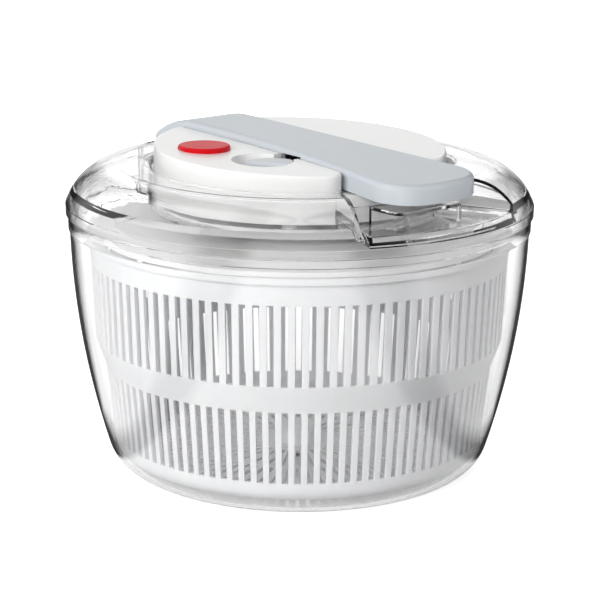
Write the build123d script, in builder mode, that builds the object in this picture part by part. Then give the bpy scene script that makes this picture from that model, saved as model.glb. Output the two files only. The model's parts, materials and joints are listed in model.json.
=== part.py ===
from build123d import *
import math
import os

# Salad spinner with a lever drive, in millimetres. The origin is the middle of the bowl's base, +Z up.
# A clear bowl holds a slotted basket. A clear lid has a pan in its middle for the drive: a lever,
# a rack, two compound gears and a one-way clutch, which turn the basket through a plate under the lid.

# Bowl
BOWL_HEIGHT = 143.0
BOWL_RIM_RADIUS = 126.2
BOWL_BASE_RADIUS = 90.5
BOWL_KNEE_RADIUS = 105.6
BOWL_KNEE_HEIGHT = 14.0
BOWL_WALL = 1.8
BOWL_CORNER_SAGITTA = 2.7
BOWL_SIDE_SAGITTA = 4.2
RIM_BAND_HEIGHT = 8.7
RIM_BAND_STEP = 0.8
PIVOT_RADIUS = 6.0
PIVOT_HEIGHT = 15.5
PIVOT_CHAMFER = 1.5

# Basket
BASKET_TOP_DROP = 11.0
BASKET_LIFT = 8.5
BASKET_SIDE_GAP = 9.2
BASKET_WALL = 2.0
BASKET_LIP_HEIGHT = 3.6
BASKET_LIP_WIDTH = 5.6
BASKET_HIGH_GAP = 8.7
BASKET_MIDDLE_GAP = 5.7
BASKET_LOW_GAP = 8.5
BASKET_FLOOR_GAP = 4.0
BASKET_CORNER_RADIUS = 9.0
SLOT_COUNT = 100
SLOT_WIDTH = 3.4
LOWER_SLOT_START = 11.5
LOWER_SLOT_LENGTH = 39.3
MIDDLE_BAND_HEIGHT = 15.2
TOP_BAND_HEIGHT = 14.9
FLOOR_SLOT_WIDTH = 2.2
FLOOR_SLOT_RINGS = ((36, 20.0, 46.0), (72, 50.0, 88.0))
HUB_RADIUS = 12.0
HUB_HEIGHT = 11.0
HUB_FILLET = 3.5
BUSH_WALL = 2.4
BUSH_CAP = 1.0

# Lid
LID_WALL = 2.0
LID_OVERHANG = 1.3
LID_SEAT_GAP = 0.2
DOME_HEIGHT = 25.4
DOME_ARC_RADIUS = 30.0
DOME_ARC_INSET = 28.5
SKIRT_WALL = 2.0
SKIRT_DEPTH = 5.0
SKIRT_CLEARANCE = 0.5
PAN_RADIUS = 80.6
PAN_FLOOR_LIFT = 0.2
PAN_CORNER = 5.0
PAN_RIM_DROP = 2.0
PAN_RIM_WIDTH = 5.5
HINGE_POCKET_MARGIN = 14.0
HINGE_POCKET_HALF_WIDTH = 29.0
RECESS_NEAR_ANGLE = 28.0
RECESS_FAR_ANGLE = 22.5
RECESS_CORNER = 6.0
RECESS_LIFT = 4.6
RECESS_LIP = 3.6
STOP_REACH = 102.5
STOP_HALF_WIDTH = 23.5
STOP_HEIGHT = 9.6
POCKET_CORNER = 6.0

# Lever: it points from the hinge at the back left to the tip at the front right
LEVER_ANGLE = -48.0
LEVER_HALF_WIDTH = 21.6
LEVER_TIP_HALF_WIDTH = 31.5
LEVER_TIP_REACH = 112.2
LEVER_TIP_CORNER = 24.0
LEVER_TIP_CORNER_WIDTH = 14.7
LEVER_TIP_BULGE = 2.0
LEVER_FLARE_START = -38.0
LEVER_TAIL = 10.0
LEVER_TAIL_CORNER = 4.0
LEVER_TAIL_DROP = 11.3
LEVER_CURL_LENGTH = 26.0
LEVER_TOP_LIFT = 3.5
LEVER_FALL = 0.047
LEVER_ARCH = 0.00016
LEVER_DEPTH = 11.6
LEVER_TIP_DEPTH = 10.0
LEVER_WALL = 2.2
LEVER_TOP_WALL = 2.4
LEVER_EDGE = 3.0
LEVER_EAR_DEPTH = 5.2
LEVER_SIDE_GAP = 0.7
HINGE_REACH = 92.0
PIN_RADIUS = 2.0
PIN_CLEARANCE = 0.05
LUG_GAP = 13.0
LUG_WIDTH = 4.0
LUG_RADIUS = 5.0
LEVER_BOSS_RADIUS = 4.4

# Housing
HOUSING_RADIUS = 79.4
HOUSING_RISE = 9.4
HOUSING_FALL = 0.0325
HOUSING_WALL = 2.2
HOUSING_FOOT_LIFT = 5.8
HOUSING_EDGE = 1.2
CHANNEL_FLOOR = 1.5
MOUTH_CORNER = 9.0
RACK_WINDOW_LENGTH = 40.0
POST_RADIUS = 4.0
POST_REACH = 48.0
POST_SIDE = 50.0
SCREW_RADIUS = 1.5
SCREW_HEAD_RADIUS = 2.9
SCREW_HEAD_HEIGHT = 1.2
SCREW_LENGTH = 9.0
SEAT_CLEARANCE = 0.02

# Gears: flat teeth of one module throughout
GEAR_MODULE = 1.25
PRESSURE_ANGLE = 25.0
ADDENDUM = 0.8
DEDENDUM = 1.05
BACKLASH = 0.24
PINION_TEETH = 12
WHEEL_TEETH = 40
SECTOR_TEETH = 26
SECTOR_CUT_TEETH = 5
SECTOR_LEAD_TEETH = 1
RACK_TOP_TEETH = 5
RACK_SIDE_TEETH = 6
RACK_LEAD_TEETH = 4
RACK_NOSE = 2.4
RACK_HALF_WIDTH = 4.0
SECTOR_HALF_WIDTH = 3.5
GEAR_ONE_REACH = 34.0
WHEEL_THICKNESS = 3.5
LAYER_GAP = 0.5
LOW_LAYER = 5.6
AXLE_RADIUS = 2.0
BASE_THICKNESS = 2.0
BASE_EDGE_GAP = 0.5
GEAR_PLATE_THICKNESS = 2.0
GEAR_PLATE_MARGIN = 6.0
PILLAR_RADIUS = 4.0
PILLAR_SPOTS = ((14.0, -20.0), (10.0, 26.0), (-66.0, -14.0))
GUIDE_WIDTH = 2.2
GUIDE_HEIGHT = 3.0
GUIDE_CLEARANCE = 0.3
GUIDE_NOSE_GAP = 24.3

# Clutch, spindle and drive plate
SPINDLE_RADIUS = 4.0
SPINDLE_TOP_RADIUS = 2.5
RUNNING_CLEARANCE = 0.06
SPINDLE_BUSH_WALL = 2.5
SPINDLE_BUSH_FLANGE = 2.0
CUP_RADIUS = 17.0
CUP_WALL = 2.2
CUP_TOP = 1.6
RATCHET_TEETH = 16
RATCHET_DEPTH = 1.6
CARRIER_THICKNESS = 1.3
CARRIER_RADIUS = 12.0
PAWL_PIVOT_REACH = 9.0
PAWL_PIVOT_RADIUS = 1.2
PAWL_EYE_RADIUS = 2.0
PAWL_TIP_RADIUS = 0.8
PAWL_SWEEP = 55.0
PAWL_CLEARANCE = 0.3
PAWL_COUNT = 2
DRIVE_PLATE_WALL = 2.0
DRIVE_HUB_RADIUS = 11.0
DRIVE_HUB_HEIGHT = 9.4
DRIVE_DISC_RADIUS = 102.0
DRIVE_GAP = 0.5
DRIVE_SCREW_HEAD_RADIUS = 5.8
DRIVE_SCREW_HEAD_HEIGHT = 2.4
DOG_COUNT = 24
DOG_WIDTH = 4.2
DOG_DEPTH = 2.8
DOG_LENGTH = 2.6
DOG_CLEARANCE = 0.4

# Brake and lock
BUTTON_SPOT = (-20.5, -50.5)
BUTTON_RADIUS = 14.0
BUTTON_RISE = 2.2
BUTTON_DEPTH = 6.0
BUTTON_EDGE = 1.2
BUTTON_CLEARANCE = 0.15
BRAKE_TRAVEL = 3.0
BRAKE_STOP_GAP = 0.1
STEM_RADIUS = 5.0
STEM_FLANGE_RADIUS = 10.0
STEM_FLANGE = 2.0
STEM_CLEARANCE = 0.1
STEM_HOLE_CLEARANCE = 0.3
STEM_GUIDE_WALL = 2.0
STEM_GUIDE_HEIGHT = 11.0
STEM_TENON_RADIUS = 3.0
PAD_RADIUS = 7.0
PAD_THICKNESS = 2.0
PAD_LIFT = 0.4
SPRING_WALL = 1.2
SPRING_CLEARANCE = 0.3
LOCK_SPOT = (19.0, -43.5)
DISH_RADIUS = 16.5
DISH_DEPTH = 5.2
LOCK_TRAVEL = 8.0
LOCK_CLEARANCE = 0.3
LOCK_STEP_ANGLE = 30.0
LOCK_NECK_LENGTH = 7.0
LOCK_NECK_WIDTH = 6.0
LOCK_CLIP_MARGIN = 2.0
LOCK_CLIP_THICKNESS = 1.2
TONGUE_LENGTH = 7.0
TONGUE_HEIGHT = 2.2
TAB_LENGTH = 5.5
TAB_REACH = 3.4
TAB_HEIGHT = 3.0
TAB_GAP = 2.0

# Heights that follow from the sizes above
lid_bottom = BOWL_HEIGHT + LID_SEAT_GAP
dome_top = lid_bottom + DOME_HEIGHT
housing_top = dome_top + HOUSING_RISE
pan_underside = lid_bottom + PAN_FLOOR_LIFT
pan_floor = pan_underside + LID_WALL
base_top = pan_floor + BASE_THICKNESS
low_start = base_top + LAYER_GAP
wheel_one_start = low_start + LOW_LAYER + LAYER_GAP
wheel_two_start = wheel_one_start + WHEEL_THICKNESS + LAYER_GAP
gears_end = wheel_two_start + WHEEL_THICKNESS
gear_plate_start = gears_end + LAYER_GAP
gear_plate_top = gear_plate_start + GEAR_PLATE_THICKNESS
channel_floor_top = gear_plate_top + CHANNEL_FLOOR
housing_foot = pan_floor + HOUSING_FOOT_LIFT
recess_floor = pan_floor + RECESS_LIFT
recess_lip = recess_floor + RECESS_LIP
stop_top = recess_floor + STOP_HEIGHT
basket_top = BOWL_HEIGHT - BASKET_TOP_DROP
pad_bottom = pan_underside - PAD_LIFT - PAD_THICKNESS
drive_disc_top = pad_bottom - BRAKE_TRAVEL - BRAKE_STOP_GAP
drive_hub_top = pan_underside - DRIVE_GAP

# Radii and gear places that follow from the sizes above
lid_radius = BOWL_RIM_RADIUS + LID_OVERHANG
bowl_side = BOWL_RIM_RADIUS - RIM_BAND_STEP
bowl_band = BOWL_HEIGHT - RIM_BAND_HEIGHT
basket_rim = BOWL_RIM_RADIUS - BASKET_SIDE_GAP
pinion_radius = GEAR_MODULE * PINION_TEETH / 2
wheel_radius = GEAR_MODULE * WHEEL_TEETH / 2
sector_radius = GEAR_MODULE * SECTOR_TEETH / 2
tooth_pitch = math.pi * GEAR_MODULE
tooth_tip = GEAR_MODULE * ADDENDUM
tooth_root = GEAR_MODULE * DEDENDUM
pair_distance = pinion_radius + wheel_radius
gear_one = (-GEAR_ONE_REACH, -RACK_HALF_WIDTH - pinion_radius)
one_distance = math.hypot(*gear_one)
one_angle = math.atan2(gear_one[1], gear_one[0])
two_angle = one_angle - math.acos(one_distance / 2 / pair_distance)
gear_two = (pair_distance * math.cos(two_angle), pair_distance * math.sin(two_angle))
rack_top_line = low_start + LOW_LAYER - tooth_tip
hinge_height = rack_top_line + sector_radius
base_radius = PAN_RADIUS - PAN_CORNER - BASE_EDGE_GAP
hinge_pocket_reach = HINGE_REACH + HINGE_POCKET_MARGIN
lever_tail_reach = HINGE_REACH + LEVER_TAIL
lever_curl_start = LEVER_CURL_LENGTH - HINGE_REACH

# The mechanism's own frame: x runs along the lever to its tip, and z is up
lever_dir = (math.cos(math.radians(LEVER_ANGLE)), math.sin(math.radians(LEVER_ANGLE)), 0)
lever_side_dir = (lever_dir[1], -lever_dir[0], 0)
mech = Plane(origin=(0, 0, 0), x_dir=lever_dir, z_dir=(0, 0, 1))
lever_side = Plane(origin=(0, 0, 0), x_dir=lever_dir, z_dir=lever_side_dir)
UP = (Align.CENTER, Align.CENTER, Align.MIN)
DOWN = (Align.CENTER, Align.CENTER, Align.MAX)


def housing_surface(along):
    """Height of the housing's sloping top at a distance along the lever."""
    return housing_top - HOUSING_FALL * along


def lever_surface(along):
    """Height of the lever's gently arched top at a distance along it."""
    return housing_top + LEVER_TOP_LIFT - LEVER_FALL * along - LEVER_ARCH * along**2


def housing_plane(drop):
    """Plane of the housing's top, lowered by a wall."""
    normal = (HOUSING_FALL * lever_dir[0], HOUSING_FALL * lever_dir[1], 1)
    return Plane(origin=(0, 0, housing_top - drop), x_dir=(-lever_dir[1], lever_dir[0], 0), z_dir=normal)


def polar(radius, angle):
    """Point at a radius and an angle in radians."""
    return (radius * math.cos(angle), radius * math.sin(angle))


def tooth_flank(teeth):
    """Radius and half angle of three points up a tooth's flank, from the root to the tip."""
    pitch_radius = GEAR_MODULE * teeth / 2
    pressure = math.radians(PRESSURE_ANGLE)
    base_circle = pitch_radius * math.cos(pressure)
    half_at_pitch = (tooth_pitch - BACKLASH) / 4 / pitch_radius
    at_base = half_at_pitch + math.tan(pressure) - pressure
    flank = [(pitch_radius - tooth_root, at_base)]
    for radius in (max(base_circle, pitch_radius - tooth_root / 2), pitch_radius, pitch_radius + tooth_tip):
        roll = math.acos(min(1.0, base_circle / radius))
        flank.append((radius, at_base - math.tan(roll) + roll))
    return flank


def tooth_points(teeth, middle):
    """Points round one tooth whose middle is at an angle in radians."""
    flank = tooth_flank(teeth)
    rising = [polar(radius, middle - half) for radius, half in flank]
    falling = [polar(radius, middle + half) for radius, half in reversed(flank)]
    return rising + falling


def gear_points(teeth, middle):
    """Points round a whole gear with one tooth at an angle in radians."""
    step = 2 * math.pi / teeth
    return [point for k in range(teeth) for point in tooth_points(teeth, middle + k * step)]


def rack_points(first, count):
    """Points along a rack of teeth, from the middle of the first tooth, about a pitch line at zero."""
    slope = math.tan(math.radians(PRESSURE_ANGLE))
    half = (tooth_pitch - BACKLASH) / 4
    shape = (
        (-half - tooth_root * slope, -tooth_root),
        (-half + tooth_tip * slope, tooth_tip),
        (half - tooth_tip * slope, tooth_tip),
        (half + tooth_root * slope, -tooth_root),
    )
    return [(first + k * tooth_pitch + across, up) for k in range(count) for across, up in shape]


os.makedirs("parts", exist_ok=True)

# Plan of the lever: straight at the hinge, flared to a rounded tip
with BuildSketch() as lever_plan:
    with BuildLine():
        tail = Line((-lever_tail_reach, LEVER_HALF_WIDTH), (LEVER_FLARE_START, LEVER_HALF_WIDTH))
        flare_end = (LEVER_TIP_REACH - LEVER_TIP_CORNER, LEVER_TIP_HALF_WIDTH)
        flare = TangentArc((LEVER_FLARE_START, LEVER_HALF_WIDTH), flare_end, tangent=(1, 0))
        corner_end = (LEVER_TIP_REACH - LEVER_TIP_BULGE, LEVER_TIP_HALF_WIDTH - LEVER_TIP_CORNER_WIDTH)
        corner = TangentArc(flare_end, corner_end, tangent=flare % 1)
        TangentArc((LEVER_TIP_REACH, 0), corner_end, tangent=(0, 1))
        mirror(about=Plane.XZ)
        Line((-lever_tail_reach, -LEVER_HALF_WIDTH), (-lever_tail_reach, LEVER_HALF_WIDTH))
    make_face()
    fillet(lever_plan.vertices().group_by(Axis.X)[0], radius=LEVER_TAIL_CORNER)


def lever_half_width(along):
    """Half the lever's width at a distance along it, on the flare's arc."""
    run = LEVER_TIP_REACH - LEVER_TIP_CORNER - LEVER_FLARE_START
    rise = LEVER_TIP_HALF_WIDTH - LEVER_HALF_WIDTH
    radius = (run**2 + rise**2) / (2 * rise)
    past = max(0.0, along - LEVER_FLARE_START)
    return LEVER_HALF_WIDTH + radius - math.sqrt(radius**2 - past**2)


def lever_profile(drop, floor_drop):
    """Side view of the lever under its top, lowered by a wall, down to its rim or below it."""
    reach = LEVER_TIP_REACH + LEVER_WALL
    curl = (lever_curl_start, lever_surface(lever_curl_start) - drop)
    tail = (-lever_tail_reach, curl[1] - LEVER_TAIL_DROP)
    tip = (reach, lever_surface(reach) - drop)
    ear = hinge_height - LEVER_EAR_DEPTH - floor_drop
    rim_drop = LEVER_DEPTH + floor_drop
    waist = (lever_curl_start, lever_surface(lever_curl_start) - rim_drop)
    tip_rim = (reach, lever_surface(reach) - LEVER_TIP_DEPTH - floor_drop)
    with BuildSketch(lever_side) as profile:
        with BuildLine():
            ThreePointArc(curl, (0, lever_surface(0) - drop), tip)
            TangentArc(curl, tail, tangent=(-1, LEVER_FALL))
            Polyline(tail, (tail[0], ear), (LEVER_EAR_DEPTH - HINGE_REACH, ear), waist)
            ThreePointArc(waist, (0, lever_surface(0) - rim_drop), tip_rim)
            Line(tip_rim, tip)
        make_face()
    return profile.sketch


def lever_area(grow, height):
    """Plan of the lever, grown by a margin, on a level plane."""
    with BuildSketch(mech.offset(height)) as area:
        add(lever_plan.sketch)
        offset(amount=grow)
    return area.sketch


def pocket_area(start, end, half_width, height):
    """Rounded rectangle along the lever's line, on a level plane."""
    with BuildSketch(mech.offset(height)) as area:
        with Locations(((start + end) / 2, 0)):
            RectangleRounded(abs(end - start), 2 * half_width, POCKET_CORNER)
    return area.sketch


def halves_area(inset, height):
    """Plan of the housing's two halves beside the channel, a wall in, with round corners at its mouth."""
    level = mech.offset(height)
    with BuildSketch(level) as area:
        Circle(HOUSING_RADIUS - inset)
        add(level.to_local_coords(lever_area(LEVER_SIDE_GAP + inset, height)), mode=Mode.SUBTRACT)
        fillet(area.vertices().group_by(Axis.X)[-1], radius=MOUTH_CORNER - inset)
    return area.sketch


def recess_area(grow, height):
    """Sector of the lid round the lever's line, grown by a wall, on a level plane."""
    near = polar(2 * lid_radius, math.radians(-RECESS_NEAR_ANGLE))
    far = polar(2 * lid_radius, math.radians(RECESS_FAR_ANGLE))
    with BuildSketch(mech.offset(height)) as area:
        with BuildLine():
            Polyline((0, 0), near, far, close=True)
        make_face()
        offset(amount=grow, kind=Kind.INTERSECTION)
    return area.sketch


def stop_area(grow, height):
    """Plan of the stop block under the lever's tip, grown by a wall, on a level plane."""
    with BuildSketch(mech.offset(height)) as area:
        Rectangle(STOP_REACH + grow, 2 * (STOP_HALF_WIDTH + grow), align=(Align.MIN, Align.CENTER))
        fillet(area.vertices().group_by(Axis.X)[-1], radius=POCKET_CORNER + grow)
    return area.sketch


def gear_area(teeth, middle, spot, height):
    """Outline of a gear at its place, with one tooth at an angle in radians."""
    with BuildSketch(mech.offset(height)) as area:
        with BuildLine():
            Polyline(*[(spot[0] + x, spot[1] + y) for x, y in gear_points(teeth, middle)], close=True)
        make_face()
    return area.sketch


def disc_area(spot, radius, height):
    """Circle at a place on a level plane."""
    with BuildSketch(mech.offset(height)) as area:
        with Locations(spot):
            Circle(radius)
    return area.sketch


def ring_edges(piece, radius):
    """Round edges of a piece that have a radius."""
    return piece.edges().filter_by(GeomType.CIRCLE).filter_by(lambda edge: abs(edge.radius - radius) < 1e-6)


def bowl_inner(height):
    """Radius of the bowl's inner side at a height, on its side arc."""
    run = bowl_side - BOWL_KNEE_RADIUS
    rise = bowl_band - BOWL_KNEE_HEIGHT
    chord = math.hypot(run, rise)
    radius = (chord**2 / 4 + BOWL_SIDE_SAGITTA**2) / (2 * BOWL_SIDE_SAGITTA)
    back = (radius - BOWL_SIDE_SAGITTA) / chord
    centre_reach = (bowl_side + BOWL_KNEE_RADIUS) / 2 - rise * back
    centre_height = (bowl_band + BOWL_KNEE_HEIGHT) / 2 + run * back
    return centre_reach + math.sqrt(radius**2 - (height - centre_height) ** 2) - BOWL_WALL


def dome_section(inset, bottom):
    """Half section of the space under the dome, drawn in by a wall."""
    top = dome_top - inset
    side = lid_radius - inset
    arc_start = lid_radius - DOME_ARC_INSET
    arc_end = dome_top - DOME_ARC_RADIUS
    arc_end += math.sqrt((DOME_ARC_RADIUS - inset) ** 2 - (side - arc_start) ** 2)
    rim_top = top - PAN_RIM_DROP
    with BuildSketch(Plane.XZ) as section:
        with BuildLine():
            Polyline((0, bottom), (0, rim_top), (PAN_RADIUS, rim_top))
            TangentArc((PAN_RADIUS + PAN_RIM_WIDTH, top), (PAN_RADIUS, rim_top), tangent=(-1, 0))
            Line((PAN_RADIUS + PAN_RIM_WIDTH, top), (arc_start, top))
            TangentArc((arc_start, top), (side, arc_end), tangent=(1, 0))
            Polyline((side, arc_end), (side, bottom), (0, bottom))
        make_face()
    return section.sketch


def pan_section(grow):
    """Half section of the pan's hollow, grown by a wall."""
    radius = PAN_RADIUS + grow
    with BuildSketch(Plane.XZ) as section:
        with Locations((0, pan_floor - grow)):
            Rectangle(radius, 2 * DOME_HEIGHT, align=(Align.MIN, Align.MIN))
        corner = section.vertices().sort_by(Axis.Y)[0:2].sort_by(Axis.X)[-1]
        fillet(corner, radius=PAN_CORNER + grow)
    return section.sketch


# Bowl: one wall of even thickness, a rim band and a pivot pin
with BuildPart() as bowl:
    bowl_knee = (BOWL_KNEE_RADIUS, BOWL_KNEE_HEIGHT)
    with BuildSketch(Plane.XZ):
        with BuildLine():
            Line((0, 0), (BOWL_BASE_RADIUS, 0))
            SagittaArc((BOWL_BASE_RADIUS, 0), bowl_knee, -BOWL_CORNER_SAGITTA)
            SagittaArc(bowl_knee, (bowl_side, bowl_band), -BOWL_SIDE_SAGITTA)
            Line((bowl_side, bowl_band), (bowl_side, BOWL_HEIGHT))
            offset(amount=BOWL_WALL, side=Side.LEFT)
        make_face()
        with Locations((bowl_side - BOWL_WALL, bowl_band)):
            Rectangle(BOWL_WALL + RIM_BAND_STEP, RIM_BAND_HEIGHT, align=(Align.MIN, Align.MIN))
    revolve(axis=Axis.Z)
    Cylinder(PIVOT_RADIUS, PIVOT_HEIGHT, align=UP)
    pivot_edges = ring_edges(bowl, PIVOT_RADIUS)
    chamfer(pivot_edges.sort_by(Axis.Z)[-1], length=PIVOT_CHAMFER)

# Basket: a stepped wall with two tiers of slots, a lip for the drive plate's dogs, and a hub
slot_low = BASKET_LIFT + LOWER_SLOT_START
slot_low_end = slot_low + LOWER_SLOT_LENGTH
slot_high = slot_low_end + MIDDLE_BAND_HEIGHT
slot_high_end = basket_top - TOP_BAND_HEIGHT
basket_high = bowl_inner(slot_high_end) - BASKET_HIGH_GAP
basket_middle = bowl_inner(slot_high) - BASKET_MIDDLE_GAP
basket_low = bowl_inner(slot_low_end) - BASKET_LOW_GAP
basket_floor = BOWL_KNEE_RADIUS - BASKET_FLOOR_GAP
lip_inner = basket_rim - BASKET_LIP_WIDTH
bush_bore = PIVOT_RADIUS + RUNNING_CLEARANCE
bush_radius = bush_bore + BUSH_WALL
bush_roof = PIVOT_HEIGHT + SEAT_CLEARANCE
bush_top = bush_roof + BUSH_CAP
drive_ring = lip_inner + DOG_LENGTH
with BuildPart() as basket:
    with BuildSketch(Plane.XZ):
        with BuildLine():
            FilletPolyline(
                (0, BASKET_LIFT),
                (basket_floor, BASKET_LIFT),
                (basket_low, slot_low_end),
                (basket_middle, slot_high),
                (basket_high, slot_high_end),
                (basket_rim - BASKET_WALL, basket_top),
                radius=(BASKET_CORNER_RADIUS, BASKET_WALL * 2, BASKET_WALL * 2, BASKET_WALL * 2),
            )
            offset(amount=BASKET_WALL, side=Side.LEFT)
        make_face()
        with Locations((lip_inner, basket_top - BASKET_LIP_HEIGHT)):
            Rectangle(BASKET_LIP_WIDTH, BASKET_LIP_HEIGHT, align=(Align.MIN, Align.MIN))
        with Locations((0, basket_top)):
            Rectangle(2 * basket_rim, BASKET_WALL * 2, align=(Align.MIN, Align.MIN), mode=Mode.SUBTRACT)
    revolve(axis=Axis.Z)
    with Locations((0, 0, BASKET_LIFT)):
        Cylinder(HUB_RADIUS, HUB_HEIGHT, align=UP)
    fillet(ring_edges(basket, HUB_RADIUS).sort_by(Axis.Z)[-1], radius=HUB_FILLET)
    with Locations((0, 0, BASKET_LIFT)):
        Cylinder(bush_radius + SEAT_CLEARANCE, bush_top - BASKET_LIFT, align=UP, mode=Mode.SUBTRACT)
    lower_reach = (basket_floor + basket_low - BASKET_WALL) / 2
    with Locations((0, 0, slot_low)):
        with PolarLocations(lower_reach, SLOT_COUNT):
            Box(
                basket_low - basket_floor + 3 * BASKET_WALL, SLOT_WIDTH, LOWER_SLOT_LENGTH,
                align=UP, mode=Mode.SUBTRACT,
            )
    upper_reach = (basket_middle + basket_high - BASKET_WALL) / 2
    with Locations((0, 0, slot_high)):
        with PolarLocations(upper_reach, SLOT_COUNT):
            Box(
                basket_high - basket_middle + 3 * BASKET_WALL, SLOT_WIDTH, slot_high_end - slot_high,
                align=UP, mode=Mode.SUBTRACT,
            )
    for count, inner, outer in FLOOR_SLOT_RINGS:
        with Locations((0, 0, BASKET_LIFT - BASKET_WALL)):
            with PolarLocations((inner + outer) / 2, count):
                Box(outer - inner, FLOOR_SLOT_WIDTH, 3 * BASKET_WALL, align=UP, mode=Mode.SUBTRACT)
    notch_end = drive_ring + DOG_CLEARANCE
    with Locations((0, 0, basket_top)):
        with PolarLocations((lip_inner - BASKET_WALL + notch_end) / 2, DOG_COUNT):
            Box(
                notch_end - lip_inner + BASKET_WALL,
                DOG_WIDTH + 2 * DOG_CLEARANCE,
                DOG_DEPTH + DOG_CLEARANCE,
                align=DOWN,
                mode=Mode.SUBTRACT,
            )

with BuildPart() as basket_bush:
    with Locations((0, 0, BASKET_LIFT)):
        Cylinder(bush_radius, bush_top - BASKET_LIFT, align=UP)
        Cylinder(bush_bore, bush_roof - BASKET_LIFT, align=UP, mode=Mode.SUBTRACT)

# Lid: a dome with a pan, a hinge pocket and a recess at the lever's tip, hollow underneath
skirt_radius = bowl_side - BOWL_WALL - SKIRT_CLEARANCE
stem_hole = STEM_RADIUS + STEM_HOLE_CLEARANCE
spindle_bush_radius = SPINDLE_RADIUS + RUNNING_CLEARANCE + SPINDLE_BUSH_WALL
lip_radius = lid_radius - DOME_ARC_INSET - LID_WALL
lip_radius += math.sqrt(DOME_ARC_RADIUS**2 - (recess_lip - dome_top + DOME_ARC_RADIUS) ** 2)
with BuildPart() as lid_hollow:
    revolve(dome_section(LID_WALL, lid_bottom - LID_WALL), axis=Axis.Z)
    extrude(recess_area(LID_WALL, recess_lip - LID_WALL), amount=DOME_HEIGHT, mode=Mode.SUBTRACT)
    extrude(
        recess_area(LID_WALL - RECESS_CORNER, recess_floor - LID_WALL), amount=DOME_HEIGHT, mode=Mode.SUBTRACT
    )
    extrude(stop_area(-LID_WALL, recess_floor - 2 * LID_WALL), amount=stop_top - recess_floor + LID_WALL)
    revolve(pan_section(LID_WALL), axis=Axis.Z, mode=Mode.SUBTRACT)
    extrude(
        pocket_area(-hinge_pocket_reach - LID_WALL, 0, HINGE_POCKET_HALF_WIDTH + LID_WALL, pan_underside),
        amount=DOME_HEIGHT,
        mode=Mode.SUBTRACT,
    )
    with BuildSketch(Plane.XY.offset(lid_bottom)):
        Circle(skirt_radius)
        Circle(skirt_radius - SKIRT_WALL, mode=Mode.SUBTRACT)
    extrude(amount=DOME_HEIGHT, mode=Mode.SUBTRACT)

# Recess in the dome round the lever's tip: it leaves a lip, the pan's wall and a stop block standing
with BuildPart() as recess:
    extrude(recess_area(0, recess_lip), amount=DOME_HEIGHT)
    fillet(recess.edges().group_by(Axis.Z)[0], radius=RECESS_CORNER)
    extrude(recess_area(-RECESS_CORNER, recess_floor), amount=RECESS_LIP)
    with BuildSketch(Plane.XY.offset(recess_floor)):
        Circle(3 * lid_radius)
        Circle(lip_radius, mode=Mode.SUBTRACT)
    extrude(amount=RECESS_LIP, mode=Mode.SUBTRACT)
    extrude(disc_area((0, 0), PAN_RADIUS + LID_WALL, recess_floor), amount=STOP_HEIGHT, mode=Mode.SUBTRACT)
    extrude(stop_area(0, recess_floor), amount=STOP_HEIGHT, mode=Mode.SUBTRACT)

with BuildPart() as lid:
    revolve(dome_section(0, lid_bottom), axis=Axis.Z)
    add(lid_hollow.part, mode=Mode.SUBTRACT)
    revolve(pan_section(0), axis=Axis.Z, mode=Mode.SUBTRACT)
    extrude(
        pocket_area(-hinge_pocket_reach, 0, HINGE_POCKET_HALF_WIDTH, pan_floor),
        amount=DOME_HEIGHT,
        mode=Mode.SUBTRACT,
    )
    add(recess.part, mode=Mode.SUBTRACT)
    with BuildSketch(Plane.XY.offset(lid_bottom - SKIRT_DEPTH)):
        Circle(skirt_radius)
        Circle(skirt_radius - SKIRT_WALL, mode=Mode.SUBTRACT)
    extrude(amount=SKIRT_DEPTH)
    extrude(
        disc_area((0, 0), spindle_bush_radius + SEAT_CLEARANCE, pan_underside - LID_WALL),
        amount=3 * LID_WALL,
        mode=Mode.SUBTRACT,
    )
    extrude(
        disc_area(BUTTON_SPOT, stem_hole, pan_underside - LID_WALL), amount=3 * LID_WALL, mode=Mode.SUBTRACT
    )

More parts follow.
